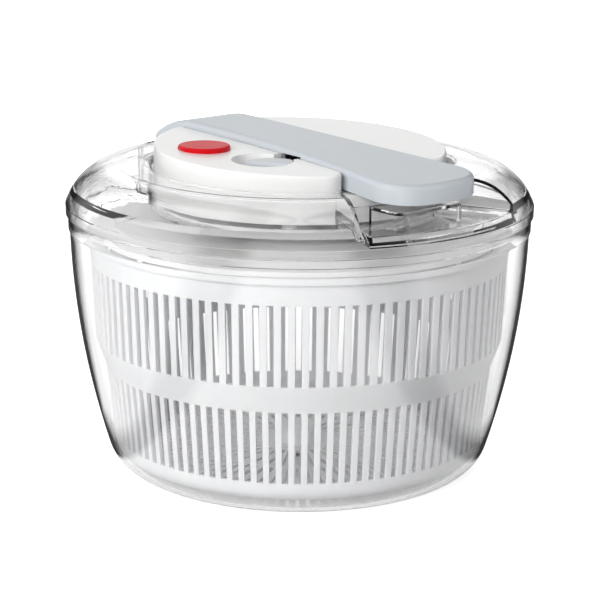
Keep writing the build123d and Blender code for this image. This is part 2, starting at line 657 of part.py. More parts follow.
# Mechanism base: a plate on the pan's floor with the hinge lugs, rack guides, pillars and brake guide
rack_bottom = base_top + GUIDE_CLEARANCE
post_spots = [(a * POST_REACH, b * POST_SIDE) for a in (-1, 1) for b in (-1, 1)]
stem_bore = STEM_RADIUS + STEM_CLEARANCE
guide_end = gear_one[0] - GUIDE_NOSE_GAP
with BuildPart(mech) as mechanism_base:
    with BuildSketch(mech.offset(pan_floor)):
        Circle(base_radius)
        with Locations(((BASE_EDGE_GAP - hinge_pocket_reach) / 2, 0)):
            RectangleRounded(
                hinge_pocket_reach - BASE_EDGE_GAP,
                2 * (HINGE_POCKET_HALF_WIDTH - BASE_EDGE_GAP),
                POCKET_CORNER - BASE_EDGE_GAP,
            )
    extrude(amount=BASE_THICKNESS)
    for start in (LUG_GAP, -LUG_GAP - LUG_WIDTH):
        with BuildSketch(lever_side.offset(start)):
            with Locations((-HINGE_REACH, hinge_height)):
                Circle(LUG_RADIUS)
                Rectangle(2 * LUG_RADIUS, hinge_height - pan_floor, align=(Align.CENTER, Align.MAX))
        extrude(amount=LUG_WIDTH)
    with BuildSketch(lever_side):
        with Locations((-HINGE_REACH, hinge_height)):
            Circle(PIN_RADIUS + SEAT_CLEARANCE)
    extrude(amount=LEVER_HALF_WIDTH, both=True, mode=Mode.SUBTRACT)
    guide_far = RACK_HALF_WIDTH + GUIDE_CLEARANCE
    guide_near = RACK_HALF_WIDTH + tooth_tip + GUIDE_CLEARANCE
    with BuildSketch(mech.offset(base_top)):
        for side in (guide_far + GUIDE_WIDTH / 2, -guide_near - GUIDE_WIDTH / 2):
            with Locations(((guide_end - hinge_pocket_reach + LUG_RADIUS) / 2, side)):
                Rectangle(hinge_pocket_reach - LUG_RADIUS + guide_end, GUIDE_WIDTH)
    extrude(amount=GUIDE_HEIGHT)
    with Locations(*[(x, y, base_top) for x, y in PILLAR_SPOTS]):
        Cylinder(PILLAR_RADIUS, gear_plate_start - base_top, align=UP)
    with Locations(*[(x, y, gear_plate_start) for x, y in PILLAR_SPOTS]):
        Cylinder(SCREW_RADIUS + SEAT_CLEARANCE, SCREW_LENGTH, align=DOWN, mode=Mode.SUBTRACT)
    with Locations((*BUTTON_SPOT, base_top)):
        Cylinder(stem_bore + STEM_GUIDE_WALL, STEM_GUIDE_HEIGHT, align=UP)
    with Locations((*BUTTON_SPOT, pan_floor)):
        Cylinder(stem_bore, BASE_THICKNESS + STEM_GUIDE_HEIGHT, align=UP, mode=Mode.SUBTRACT)
    with Locations(*[(x, y, pan_floor) for x, y in (gear_one, gear_two)]):
        Cylinder(AXLE_RADIUS + SEAT_CLEARANCE, BASE_THICKNESS, align=UP, mode=Mode.SUBTRACT)
    with Locations((0, 0, pan_floor)):
        Cylinder(spindle_bush_radius + SEAT_CLEARANCE, BASE_THICKNESS, align=UP, mode=Mode.SUBTRACT)
    with Locations(*[(x, y, pan_floor) for x, y in post_spots]):
        Cylinder(SCREW_RADIUS + SEAT_CLEARANCE, BASE_THICKNESS, align=UP, mode=Mode.SUBTRACT)
        Cylinder(
            SCREW_HEAD_RADIUS + SEAT_CLEARANCE, SCREW_HEAD_HEIGHT, align=UP, mode=Mode.SUBTRACT
        )

# Gear plate: holds the top ends of the axles and the spindle
with BuildPart(mech) as gear_plate:
    with BuildSketch(mech.offset(gear_plate_start)) as plate_plan:
        with Locations(*PILLAR_SPOTS, gear_one, gear_two, (0, 0)):
            Circle(GEAR_PLATE_MARGIN)
        make_hull(plate_plan.edges())
    extrude(amount=GEAR_PLATE_THICKNESS)
    with Locations(*[(x, y, gear_plate_start) for x, y in (gear_one, gear_two)]):
        Cylinder(AXLE_RADIUS + SEAT_CLEARANCE, GEAR_PLATE_THICKNESS, align=UP, mode=Mode.SUBTRACT)
    with Locations((0, 0, gear_plate_start)):
        Cylinder(
            SPINDLE_TOP_RADIUS + RUNNING_CLEARANCE, GEAR_PLATE_THICKNESS, align=UP, mode=Mode.SUBTRACT
        )
    with Locations(*[(x, y, gear_plate_top) for x, y in PILLAR_SPOTS]):
        Cylinder(SCREW_RADIUS + SEAT_CLEARANCE, GEAR_PLATE_THICKNESS, align=DOWN, mode=Mode.SUBTRACT)
        Cylinder(
            SCREW_HEAD_RADIUS + SEAT_CLEARANCE, SCREW_HEAD_HEIGHT, align=DOWN, mode=Mode.SUBTRACT
        )

with BuildPart(mech) as plate_screws:
    with Locations(*[(x, y, gear_plate_top) for x, y in PILLAR_SPOTS]):
        Cylinder(SCREW_HEAD_RADIUS, SCREW_HEAD_HEIGHT, align=DOWN)
        Cylinder(SCREW_RADIUS, SCREW_LENGTH, align=DOWN)

with BuildPart(mech) as cover_screws:
    with Locations(*[(x, y, pan_floor) for x, y in post_spots]):
        Cylinder(SCREW_HEAD_RADIUS, SCREW_HEAD_HEIGHT, align=UP)
        Cylinder(SCREW_RADIUS, SCREW_LENGTH, align=UP)

with BuildPart(mech) as gear_axles:
    with Locations(*[(x, y, pan_floor) for x, y in (gear_one, gear_two)]):
        Cylinder(AXLE_RADIUS, gear_plate_top - pan_floor, align=UP)

# Housing cover: a puck with a sloping top, cut by a channel for the lever
button_surface = housing_surface(BUTTON_SPOT[0])
button_bore = BUTTON_RADIUS + BUTTON_CLEARANCE
dish_floor = housing_surface(LOCK_SPOT[0]) - DISH_DEPTH
dish_under = dish_floor - HOUSING_WALL
neck_spot = (LOCK_SPOT[0] + LOCK_TRAVEL / 2, LOCK_SPOT[1])
tongue_start = neck_spot[0] - TONGUE_LENGTH / 2
tongue_bottom = dish_floor + LOCK_CLEARANCE
tab_end = tongue_start - TAB_GAP
tab_start = tab_end - TAB_LENGTH
tab_top = tongue_bottom - LOCK_CLEARANCE
tab_side = lever_half_width(tab_end) + TAB_REACH
notch_start = tab_start - LEVER_SIDE_GAP
notch_length = tongue_start + TONGUE_LENGTH + LEVER_SIDE_GAP - notch_start
with BuildPart(mech) as cover_hollow:
    extrude(
        disc_area((0, 0), HOUSING_RADIUS - HOUSING_WALL, housing_foot), amount=gear_plate_top - housing_foot
    )
    extrude(halves_area(HOUSING_WALL, gear_plate_top), amount=2 * DOME_HEIGHT)
    split(bisect_by=housing_plane(HOUSING_WALL), keep=Keep.BOTTOM)
    extrude(
        disc_area(LOCK_SPOT, DISH_RADIUS + HOUSING_WALL, dish_under),
        amount=2 * DOME_HEIGHT,
        mode=Mode.SUBTRACT,
    )
    extrude(
        disc_area(BUTTON_SPOT, button_bore + HOUSING_WALL, button_surface - BUTTON_DEPTH),
        amount=2 * DOME_HEIGHT,
        mode=Mode.SUBTRACT,
    )
    with Locations(*[(x, y, housing_foot) for x, y in post_spots]):
        Cylinder(POST_RADIUS, 2 * DOME_HEIGHT, align=UP, mode=Mode.SUBTRACT)

with BuildPart(mech) as housing_cover:
    extrude(disc_area((0, 0), HOUSING_RADIUS, housing_foot), amount=channel_floor_top - housing_foot)
    extrude(halves_area(0, channel_floor_top), amount=2 * DOME_HEIGHT)
    split(bisect_by=housing_plane(0), keep=Keep.BOTTOM)
    fillet(housing_cover.faces().sort_by(Axis.Z)[-2:].edges(), radius=HOUSING_EDGE)
    add(mech.to_local_coords(cover_hollow.part), mode=Mode.SUBTRACT)
    with Locations(*[(x, y, base_top) for x, y in post_spots]):
        Cylinder(POST_RADIUS, housing_foot - base_top, align=UP)
        Cylinder(SCREW_RADIUS + SEAT_CLEARANCE, SCREW_LENGTH, align=UP, mode=Mode.SUBTRACT)
    extrude(
        disc_area(BUTTON_SPOT, button_bore, base_top + STEM_GUIDE_HEIGHT),
        amount=2 * DOME_HEIGHT,
        mode=Mode.SUBTRACT,
    )
    extrude(disc_area(LOCK_SPOT, DISH_RADIUS, dish_floor), amount=DOME_HEIGHT, mode=Mode.SUBTRACT)
    with Locations((*LOCK_SPOT, dish_floor)):
        Box(
            LOCK_NECK_LENGTH + LOCK_TRAVEL + 2 * LOCK_CLEARANCE,
            LOCK_NECK_WIDTH + 2 * LOCK_CLEARANCE,
            HOUSING_WALL,
            align=DOWN,
            mode=Mode.SUBTRACT,
        )
    notch_outer = max(tab_side + LEVER_SIDE_GAP, -LOCK_SPOT[1] - DISH_RADIUS / 2)
    with Locations((notch_start, -LEVER_HALF_WIDTH, tab_top - TAB_HEIGHT - LEVER_SIDE_GAP)):
        Box(
            notch_length,
            notch_outer - LEVER_HALF_WIDTH,
            2 * DOME_HEIGHT,
            align=(Align.MIN, Align.MAX, Align.MIN),
            mode=Mode.SUBTRACT,
        )
    with Locations((-HOUSING_RADIUS, 0, housing_foot)):
        Box(
            RACK_WINDOW_LENGTH,
            2 * (guide_near + GUIDE_WIDTH + GUIDE_CLEARANCE),
            rack_top_line + tooth_tip + LAYER_GAP - housing_foot,
            align=UP,
            mode=Mode.SUBTRACT,
        )

# Lever: a hollow shell with hinge bosses and a tab for the lock
with BuildPart(mech) as lever_hollow:
    extrude(lever_profile(LEVER_TOP_WALL, LEVER_DEPTH), amount=2 * LEVER_TIP_HALF_WIDTH, both=True)
    extrude(lever_area(-LEVER_WALL, 0), amount=2 * housing_top, mode=Mode.INTERSECT)

boss_inner = LUG_GAP + LUG_WIDTH + GUIDE_CLEARANCE
pin_end = LEVER_HALF_WIDTH - LEVER_WALL / 2
with BuildPart(mech) as lever:
    extrude(lever_profile(0, 0), amount=2 * LEVER_TIP_HALF_WIDTH, both=True)
    extrude(lever_area(0, 0), amount=2 * housing_top, mode=Mode.INTERSECT)
    lever_rim = lever.faces().sort_by(Axis.Z)[-1].edges()
    fillet(lever_rim, radius=LEVER_EDGE)
    add(mech.to_local_coords(lever_hollow.part), mode=Mode.SUBTRACT)
    for start in (boss_inner, -LEVER_HALF_WIDTH + LEVER_WALL / 2):
        with BuildSketch(lever_side.offset(start)):
            with Locations((-HINGE_REACH, hinge_height)):
                Circle(LEVER_BOSS_RADIUS)
        extrude(amount=LEVER_HALF_WIDTH - LEVER_WALL / 2 - boss_inner)
    with BuildSketch(lever_side):
        with Locations((-HINGE_REACH, hinge_height)):
            Circle(PIN_RADIUS + PIN_CLEARANCE)
    extrude(amount=pin_end + PIN_CLEARANCE, both=True, mode=Mode.SUBTRACT)
    for start, bottom in ((tab_end, 0), (notch_start, tab_top)):
        with Locations((start, -tab_side, bottom)):
            Box(
                notch_start + notch_length - start,
                TAB_REACH + 2 * LEVER_WALL,
                housing_surface(notch_start) - bottom,
                align=(Align.MIN, Align.MIN, Align.MIN),
                mode=Mode.SUBTRACT,
            )
    with Locations((tab_start, -tab_side, tab_top - TAB_HEIGHT)):
        Box(
            TAB_LENGTH,
            TAB_REACH + LEVER_WALL / 2,
            TAB_HEIGHT,
            align=(Align.MIN, Align.MIN, Align.MIN),
        )

with BuildPart() as lever_pin:
    with BuildSketch(lever_side):
        with Locations((-HINGE_REACH, hinge_height)):
            Circle(PIN_RADIUS)
    extrude(amount=pin_end, both=True)

# Toothed sector under the lever: its first contact tooth points straight down
sector_step = 2 * math.pi / SECTOR_TEETH
sector_order = reversed(range(SECTOR_CUT_TEETH))
sector_middles = [-math.pi / 2 + (SECTOR_LEAD_TEETH - k) * sector_step for k in sector_order]
sector_points = [point for middle in sector_middles for point in tooth_points(SECTOR_TEETH, middle)]
with BuildPart() as sector_arm:
    with BuildSketch(lever_side):
        with Locations((-HINGE_REACH, hinge_height)):
            Rectangle(2 * LUG_RADIUS, 2 * LEVER_DEPTH, align=(Align.CENTER, Align.MIN))
    extrude(amount=SECTOR_HALF_WIDTH, both=True)
    extrude(
        lever_profile(LEVER_TOP_WALL, LEVER_DEPTH), amount=SECTOR_HALF_WIDTH, both=True, mode=Mode.INTERSECT
    )

with BuildPart() as lever_sector:
    with BuildSketch(lever_side):
        with BuildLine():
            Polyline(
                (-HINGE_REACH, hinge_height),
                *[(x - HINGE_REACH, y + hinge_height) for x, y in sector_points],
                close=True,
            )
        make_face()
        with Locations((-HINGE_REACH, hinge_height)):
            Circle(LUG_RADIUS)
    extrude(amount=SECTOR_HALF_WIDTH, both=True)
    add(sector_arm.part)
    with BuildSketch(lever_side):
        with Locations((-HINGE_REACH, hinge_height)):
            Circle(PIN_RADIUS + PIN_CLEARANCE)
    extrude(amount=LEVER_HALF_WIDTH, both=True, mode=Mode.SUBTRACT)

with BuildPart() as lever_spring:
    with BuildSketch(lever_side.offset(SECTOR_HALF_WIDTH + SPRING_CLEARANCE)):
        with Locations((-HINGE_REACH, hinge_height)):
            Circle(PIN_RADIUS + SPRING_CLEARANCE + SPRING_WALL)
            Circle(PIN_RADIUS + SPRING_CLEARANCE, mode=Mode.SUBTRACT)
    extrude(amount=LUG_GAP - SECTOR_HALF_WIDTH - 2 * SPRING_CLEARANCE)

# Rack: teeth on top for the sector, teeth on its side for the first pinion
top_first = -HINGE_REACH - RACK_TOP_TEETH / 2 * tooth_pitch
top_end = top_first + (RACK_TOP_TEETH - 0.5) * tooth_pitch
side_first = gear_one[0] - RACK_LEAD_TEETH * tooth_pitch
rack_tail = top_first - tooth_pitch / 2
rack_nose = side_first + (RACK_SIDE_TEETH - 1) * tooth_pitch + RACK_NOSE
rack_root = rack_top_line - tooth_root
with BuildPart(mech) as rack:
    with BuildSketch(mech.offset(rack_bottom)):
        with BuildLine():
            Polyline(
                (rack_tail, RACK_HALF_WIDTH),
                (rack_tail, tooth_root - RACK_HALF_WIDTH),
                *[(x, -RACK_HALF_WIDTH - up) for x, up in rack_points(side_first, RACK_SIDE_TEETH)],
                (rack_nose, tooth_root - RACK_HALF_WIDTH),
                (rack_nose, RACK_HALF_WIDTH),
                close=True,
            )
        make_face()
    extrude(amount=rack_root - rack_bottom)
    with BuildSketch(lever_side.offset(-RACK_HALF_WIDTH)):
        with BuildLine():
            Polyline(
                (rack_tail, rack_root - tooth_root),
                (rack_tail, rack_root),
                *[(x, rack_top_line + up) for x, up in rack_points(top_first, RACK_TOP_TEETH)],
                (top_end, rack_root),
                (top_end, rack_root - tooth_root),
                close=True,
            )
        make_face()
    extrude(amount=2 * RACK_HALF_WIDTH - tooth_root)

# Gears: each wheel has a tooth on the line of centres, where the pinion it turns has a gap
half_pinion_step = math.pi / PINION_TEETH
to_two = math.atan2(gear_two[1] - gear_one[1], gear_two[0] - gear_one[0])
to_spindle = math.atan2(-gear_two[1], -gear_two[0])
axle_bore = AXLE_RADIUS + RUNNING_CLEARANCE
with BuildPart(mech) as compound_gear_1:
    extrude(
        gear_area(PINION_TEETH, math.pi / 2 + half_pinion_step, gear_one, low_start),
        amount=wheel_one_start - low_start,
    )
    extrude(gear_area(WHEEL_TEETH, to_two, gear_one, wheel_one_start), amount=WHEEL_THICKNESS)
    extrude(
        disc_area(gear_one, pinion_radius - tooth_root, wheel_one_start),
        amount=gear_plate_start - LAYER_GAP - wheel_one_start,
    )
    extrude(disc_area(gear_one, axle_bore, pan_floor), amount=2 * DOME_HEIGHT, mode=Mode.SUBTRACT)

with BuildPart(mech) as compound_gear_2:
    extrude(
        disc_area(gear_two, pinion_radius - tooth_root, low_start), amount=wheel_one_start - low_start
    )
    extrude(
        gear_area(PINION_TEETH, to_two + math.pi + half_pinion_step, gear_two, wheel_one_start),
        amount=wheel_two_start - wheel_one_start,
    )
    extrude(gear_area(WHEEL_TEETH, to_spindle, gear_two, wheel_two_start), amount=WHEEL_THICKNESS)
    extrude(disc_area(gear_two, axle_bore, pan_floor), amount=2 * DOME_HEIGHT, mode=Mode.SUBTRACT)

# One-way clutch: a cup with ratchet teeth inside, and two pawls folded in on their carrier
cup_top = low_start + LOW_LAYER
cup_roof = cup_top - CUP_TOP
ratchet_root = CUP_RADIUS - CUP_WALL
ratchet_tip = ratchet_root - RATCHET_DEPTH
ratchet_step = 2 * math.pi / RATCHET_TEETH
ratchet_points = [
    polar(radius, k * ratchet_step) for k in range(RATCHET_TEETH) for radius in (ratchet_tip, ratchet_root)
]
spindle_bore = SPINDLE_RADIUS + RUNNING_CLEARANCE
with BuildPart(mech) as clutch_gear:
    extrude(disc_area((0, 0), CUP_RADIUS, low_start), amount=LOW_LAYER)
    with BuildSketch(mech.offset(low_start)):
        with BuildLine():
            Polyline(*ratchet_points, close=True)
        make_face()
    extrude(amount=cup_roof - low_start, mode=Mode.SUBTRACT)
    extrude(disc_area((0, 0), pinion_radius - tooth_root, cup_top), amount=wheel_two_start - cup_top)
    extrude(
        gear_area(PINION_TEETH, to_spindle + math.pi + half_pinion_step, (0, 0), wheel_two_start),
        amount=WHEEL_THICKNESS,
    )
    extrude(disc_area((0, 0), spindle_bore, pan_floor), amount=2 * DOME_HEIGHT, mode=Mode.SUBTRACT)

bush_flange_top = base_top + LAYER_GAP / 2
carrier_bottom = bush_flange_top + SEAT_CLEARANCE
carrier_top = carrier_bottom + CARRIER_THICKNESS
pawl_top = cup_roof - LAYER_GAP
pawl_spots = [polar(PAWL_PIVOT_REACH, 2 * math.pi * k / PAWL_COUNT) for k in range(PAWL_COUNT)]
pawl_tip_reach = ratchet_tip - PAWL_CLEARANCE - PAWL_TIP_RADIUS
with BuildPart(mech) as pawl_carrier:
    extrude(disc_area((0, 0), CARRIER_RADIUS, carrier_bottom), amount=CARRIER_THICKNESS)
    with Locations(*[(x, y, carrier_top) for x, y in pawl_spots]):
        Cylinder(PAWL_PIVOT_RADIUS, pawl_top - carrier_top, align=UP)
    extrude(
        disc_area((0, 0), SPINDLE_RADIUS + SEAT_CLEARANCE, pan_floor), amount=DOME_HEIGHT, mode=Mode.SUBTRACT
    )

with BuildPart(mech) as pawls:
    for k, spot in enumerate(pawl_spots):
        with BuildSketch(mech.offset(carrier_top + SEAT_CLEARANCE)) as pawl_plan:
            with Locations(spot):
                Circle(PAWL_EYE_RADIUS)
            tip_angle = 2 * math.pi * k / PAWL_COUNT + math.radians(PAWL_SWEEP)
            with Locations(polar(pawl_tip_reach, tip_angle)):
                Circle(PAWL_TIP_RADIUS)
            make_hull(pawl_plan.edges())
            with Locations(spot):
                Circle(PAWL_PIVOT_RADIUS + SEAT_CLEARANCE, mode=Mode.SUBTRACT)
        extrude(amount=pawl_top - carrier_top - SEAT_CLEARANCE)

drive_hub_bottom = drive_hub_top - DRIVE_HUB_HEIGHT
with BuildPart() as spindle:
    with Locations((0, 0, drive_hub_bottom)):
        Cylinder(SPINDLE_RADIUS, gears_end - drive_hub_bottom, align=UP)
        Cylinder(SPINDLE_TOP_RADIUS, gear_plate_top - drive_hub_bottom, align=UP)
        Cylinder(SCREW_RADIUS + SEAT_CLEARANCE, SCREW_LENGTH, align=UP, mode=Mode.SUBTRACT)

with BuildPart() as spindle_bush:
    with Locations((0, 0, pan_underside)):
        Cylinder(spindle_bush_radius, base_top - pan_underside, align=UP)
    with Locations((0, 0, base_top)):
        Cylinder(spindle_bush_radius + SPINDLE_BUSH_FLANGE, bush_flange_top - base_top, align=UP)
    with Locations((0, 0, pan_underside)):
        Cylinder(spindle_bore, bush_flange_top - pan_underside, align=UP, mode=Mode.SUBTRACT)

# Drive plate: a disc under the lid, with dogs round its edge that drop into the basket's lip
drive_edge = basket_top + DRIVE_GAP
with BuildPart() as drive_plate:
    with BuildSketch(Plane.XZ):
        with BuildLine():
            Polyline(
                (0, drive_disc_top),
                (DRIVE_DISC_RADIUS, drive_disc_top),
                (drive_ring, drive_edge + DRIVE_PLATE_WALL),
                (drive_ring, drive_edge),
            )
            offset(amount=DRIVE_PLATE_WALL, side=Side.RIGHT)
        make_face()
    revolve(axis=Axis.Z)
    with Locations((0, 0, drive_hub_bottom)):
        Cylinder(DRIVE_HUB_RADIUS, DRIVE_HUB_HEIGHT, align=UP)
        Cylinder(SPINDLE_RADIUS + SEAT_CLEARANCE, DRIVE_HUB_HEIGHT, align=UP, mode=Mode.SUBTRACT)
    with Locations((0, 0, drive_edge)):
        with PolarLocations(drive_ring - DRIVE_PLATE_WALL / 2, DOG_COUNT):
            Box(DRIVE_PLATE_WALL, DOG_WIDTH, DRIVE_GAP + DOG_DEPTH, align=DOWN)

with BuildPart() as drive_screw:
    with Locations((0, 0, drive_hub_bottom)):
        Cylinder(DRIVE_SCREW_HEAD_RADIUS, DRIVE_SCREW_HEAD_HEIGHT, align=DOWN)
        Cylinder(SCREW_RADIUS, SCREW_LENGTH - SCREW_HEAD_HEIGHT, align=UP)

# Brake: the red button, its stem and spring, and a pad over the drive plate
button_bottom = button_surface + BUTTON_RISE - BUTTON_DEPTH
flange_bottom = button_bottom - STEM_FLANGE
pad_top = pad_bottom + PAD_THICKNESS
with BuildPart(mech) as brake_button:
    with Locations((*BUTTON_SPOT, button_bottom)):
        Cylinder(BUTTON_RADIUS, BUTTON_DEPTH, align=UP)
    fillet(brake_button.edges().group_by(Axis.Z)[-1], radius=BUTTON_EDGE)

with BuildPart(mech) as brake_stem:
    with Locations((*BUTTON_SPOT, pad_top)):
        Cylinder(STEM_RADIUS, flange_bottom - pad_top, align=UP)
        Cylinder(STEM_TENON_RADIUS, PAD_THICKNESS / 2, align=DOWN)
    with Locations((*BUTTON_SPOT, flange_bottom)):
        Cylinder(STEM_FLANGE_RADIUS, STEM_FLANGE, align=UP)

with BuildPart(mech) as brake_pad:
    with Locations((*BUTTON_SPOT, pad_bottom)):
        Cylinder(PAD_RADIUS, PAD_THICKNESS, align=UP)
    with Locations((*BUTTON_SPOT, pad_top)):
        Cylinder(
            STEM_TENON_RADIUS + SEAT_CLEARANCE, PAD_THICKNESS / 2 + SEAT_CLEARANCE,
            align=DOWN, mode=Mode.SUBTRACT,
        )

spring_inner = STEM_RADIUS + SPRING_CLEARANCE
with BuildPart(mech) as brake_spring:
    with Locations((*BUTTON_SPOT, base_top + STEM_GUIDE_HEIGHT)):
        Cylinder(spring_inner + SPRING_WALL, flange_bottom - base_top - STEM_GUIDE_HEIGHT, align=UP)
        Cylinder(
            spring_inner, flange_bottom - base_top - STEM_GUIDE_HEIGHT, align=UP, mode=Mode.SUBTRACT
        )

# Lock: a slider in the dish, with a tongue that goes over the lever's tab, held by a clip
slider_top = housing_surface(LOCK_SPOT[0] + DISH_RADIUS) - LOCK_CLEARANCE
clip_top = dish_under - LOCK_CLEARANCE
clip_bottom = clip_top - LOCK_CLIP_THICKNESS
tongue_side = lever_half_width(tongue_start + TONGUE_LENGTH) + LEVER_SIDE_GAP
with BuildPart(mech) as lock_slider:
    with BuildSketch(mech.offset(tongue_bottom)):
        with Locations(LOCK_SPOT):
            Circle(DISH_RADIUS - LOCK_CLEARANCE)
        with Locations((LOCK_SPOT[0] + LOCK_TRAVEL, LOCK_SPOT[1])):
            Circle(DISH_RADIUS - LOCK_CLEARANCE, mode=Mode.INTERSECT)
    extrude(amount=slider_top - tongue_bottom)
    with Locations(Location((*neck_spot, tongue_bottom + TONGUE_HEIGHT), (0, 0, LOCK_STEP_ANGLE))):
        Box(
            4 * DISH_RADIUS,
            2 * DISH_RADIUS,
            DISH_DEPTH,
            align=(Align.CENTER, Align.MAX, Align.MIN),
            mode=Mode.SUBTRACT,
        )
    with Locations((*neck_spot, clip_bottom)):
        Box(LOCK_NECK_LENGTH, LOCK_NECK_WIDTH, tongue_bottom - clip_bottom, align=UP)
    with Locations((neck_spot[0], -tongue_side, tongue_bottom)):
        Box(
            TONGUE_LENGTH,
            -neck_spot[1] - tongue_side,
            TONGUE_HEIGHT,
            align=(Align.CENTER, Align.MAX, Align.MIN),
        )

with BuildPart(mech) as lock_clip:
    with Locations((*neck_spot, clip_bottom)):
        Box(
            LOCK_NECK_LENGTH + 2 * LOCK_CLIP_MARGIN,
            LOCK_NECK_WIDTH + 2 * LOCK_CLIP_MARGIN,
            LOCK_CLIP_THICKNESS,
            align=UP,
        )
        Box(
            LOCK_NECK_LENGTH + 2 * SEAT_CLEARANCE,
            LOCK_NECK_WIDTH + 2 * SEAT_CLEARANCE,
            LOCK_CLIP_THICKNESS,
            align=UP,
            mode=Mode.SUBTRACT,
        )

pieces = {
    "bowl": bowl,
    "basket": basket,
    "basket_bush": basket_bush,
    "lid": lid,
    "mechanism_base": mechanism_base,
    "gear_plate": gear_plate,
    "plate_screws": plate_screws,
    "cover_screws": cover_screws,
    "gear_axles": gear_axles,
    "housing_cover": housing_cover,
    "lever": lever,
    "lever_pin": lever_pin,
    "lever_sector": lever_sector,
    "lever_spring": lever_spring,
    "rack": rack,
    "compound_gear_1": compound_gear_1,
    "compound_gear_2": compound_gear_2,
    "clutch_gear": clutch_gear,
    "pawl_carrier": pawl_carrier,
    "pawls": pawls,
    "spindle": spindle,
    "spindle_bush": spindle_bush,
    "drive_plate": drive_plate,
    "drive_screw": drive_screw,
    "brake_button": brake_button,
    "brake_stem": brake_stem,
    "brake_pad": brake_pad,
    "brake_spring": brake_spring,
    "lock_slider": lock_slider,
    "lock_clip": lock_clip,
}
for name, piece in pieces.items():
    piece.part.label = name
    export_step(piece.part, f"parts/{name}.step")
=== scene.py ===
"""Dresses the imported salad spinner: clear bowl and lid, white basket, grey lever, and a plain studio."""
import json
import math

import bpy
import numpy as np
from mathutils import Matrix, Vector


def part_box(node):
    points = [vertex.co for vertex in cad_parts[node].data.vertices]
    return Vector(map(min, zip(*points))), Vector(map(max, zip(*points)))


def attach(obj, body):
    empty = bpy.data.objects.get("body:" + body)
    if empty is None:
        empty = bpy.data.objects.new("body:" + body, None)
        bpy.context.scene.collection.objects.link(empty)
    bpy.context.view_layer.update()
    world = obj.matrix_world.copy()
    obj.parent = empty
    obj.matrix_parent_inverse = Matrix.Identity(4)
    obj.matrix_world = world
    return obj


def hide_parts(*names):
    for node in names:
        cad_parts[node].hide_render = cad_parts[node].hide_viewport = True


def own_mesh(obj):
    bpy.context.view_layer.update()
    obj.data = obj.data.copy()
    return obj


bl_info = {
    "name": "Salad spinner dressing",
    "version": (1, 0, 0),
    "blender": (4, 5, 0),
    "location": "View3D > Sidebar > Spinner",
    "description": "Gives the packed salad spinner its moulded plastics, wound springs and studio",
    "category": "Object",
}

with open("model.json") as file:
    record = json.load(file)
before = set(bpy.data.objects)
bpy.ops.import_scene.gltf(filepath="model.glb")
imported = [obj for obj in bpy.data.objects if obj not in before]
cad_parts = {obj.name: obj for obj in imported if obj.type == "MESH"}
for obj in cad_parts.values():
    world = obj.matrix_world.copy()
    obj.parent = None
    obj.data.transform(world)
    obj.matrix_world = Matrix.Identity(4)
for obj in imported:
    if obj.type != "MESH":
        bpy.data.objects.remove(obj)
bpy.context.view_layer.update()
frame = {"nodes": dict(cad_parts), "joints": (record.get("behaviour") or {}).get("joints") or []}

MM = 0.001

# Lengths of the patterns in the plastics, and the share of a shadow's light that a clear face passes
TONE_LENGTH = 40 * MM
GLOSS_LENGTH = 12 * MM
FLOW_LENGTH = 30 * MM
FLOW_DEPTH = 0.03 * MM
CLEAR_PASS = 0.995

# How finely the bowl and the springs are divided
BOWL_STEPS = 192
CORNER_POINTS = 14
SIDE_POINTS = 40
EDGE_POINTS = 6
FLAT_PARTS = 12
SHARP_ANGLE = math.radians(30)
COIL_STEPS = 30
WIRE_SIDES = 10

# How far a coil's end turns close up, and directions to square a wire's section and a coil's turns to
COIL_CLOSING = 0.6
WIRE_LEAN = (0.31, 0.17, 0.93)
COIL_LEAN = (0.36, 0.48, 0.8)

BOWL_LOW, BOWL_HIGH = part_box("bowl")
SPRING_LOW, SPRING_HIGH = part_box("brake_spring")
HINGE = next(joint for joint in frame["joints"] if joint["name"] == "lever_pivot")

# Which finish each node of the frame takes
NODE_FINISHES = {
    "clear_plastic": ("bowl", "lid"),
    "basket_white": ("basket",),
    "cover_white": ("housing_cover",),
    "lever_grey": ("lever",),
    "button_red": ("brake_button",),
    "slider_grey": ("lock_slider",),
    "frame_white": ("mechanism_base", "gear_plate", "brake_stem", "drive_plate", "lock_clip"),
    "gear_nylon": (
        "rack",
        "lever_sector",
        "compound_gear_1",
        "compound_gear_2",
        "clutch_gear",
        "pawl_carrier",
        "pawls",
        "basket_bush",
        "spindle_bush",
    ),
    "steel": (
        "plate_screws",
        "cover_screws",
        "gear_axles",
        "lever_pin",
        "spindle",
        "drive_screw",
        "brake_spring",
        "lever_spring",
    ),
    "brake_rubber": ("brake_pad",),
}


def linear(colour):
    """sRGB hex to linear RGB: below 0.04045 a share of 12.92, above it a power of 2.4."""
    parts = np.array([int(colour[i : i + 2], 16) for i in (0, 2, 4)]) / 255
    return tuple(np.where(parts <= 0.04045, parts / 12.92, ((parts + 0.055) / 1.055) ** 2.4).tolist())


def size_prop(name, default, description):
    """A length of the object in millimetres, kept in metres."""
    return bpy.props.FloatProperty(
        name=name, description=description, default=default * MM, unit="LENGTH", precision=5
    )


def colour_prop(name, default, description):
    """A finish's colour, given as sRGB hex and kept linear."""
    return bpy.props.FloatVectorProperty(
        name=name, description=description, default=linear(default), subtype="COLOR", size=3, min=0, max=1
    )


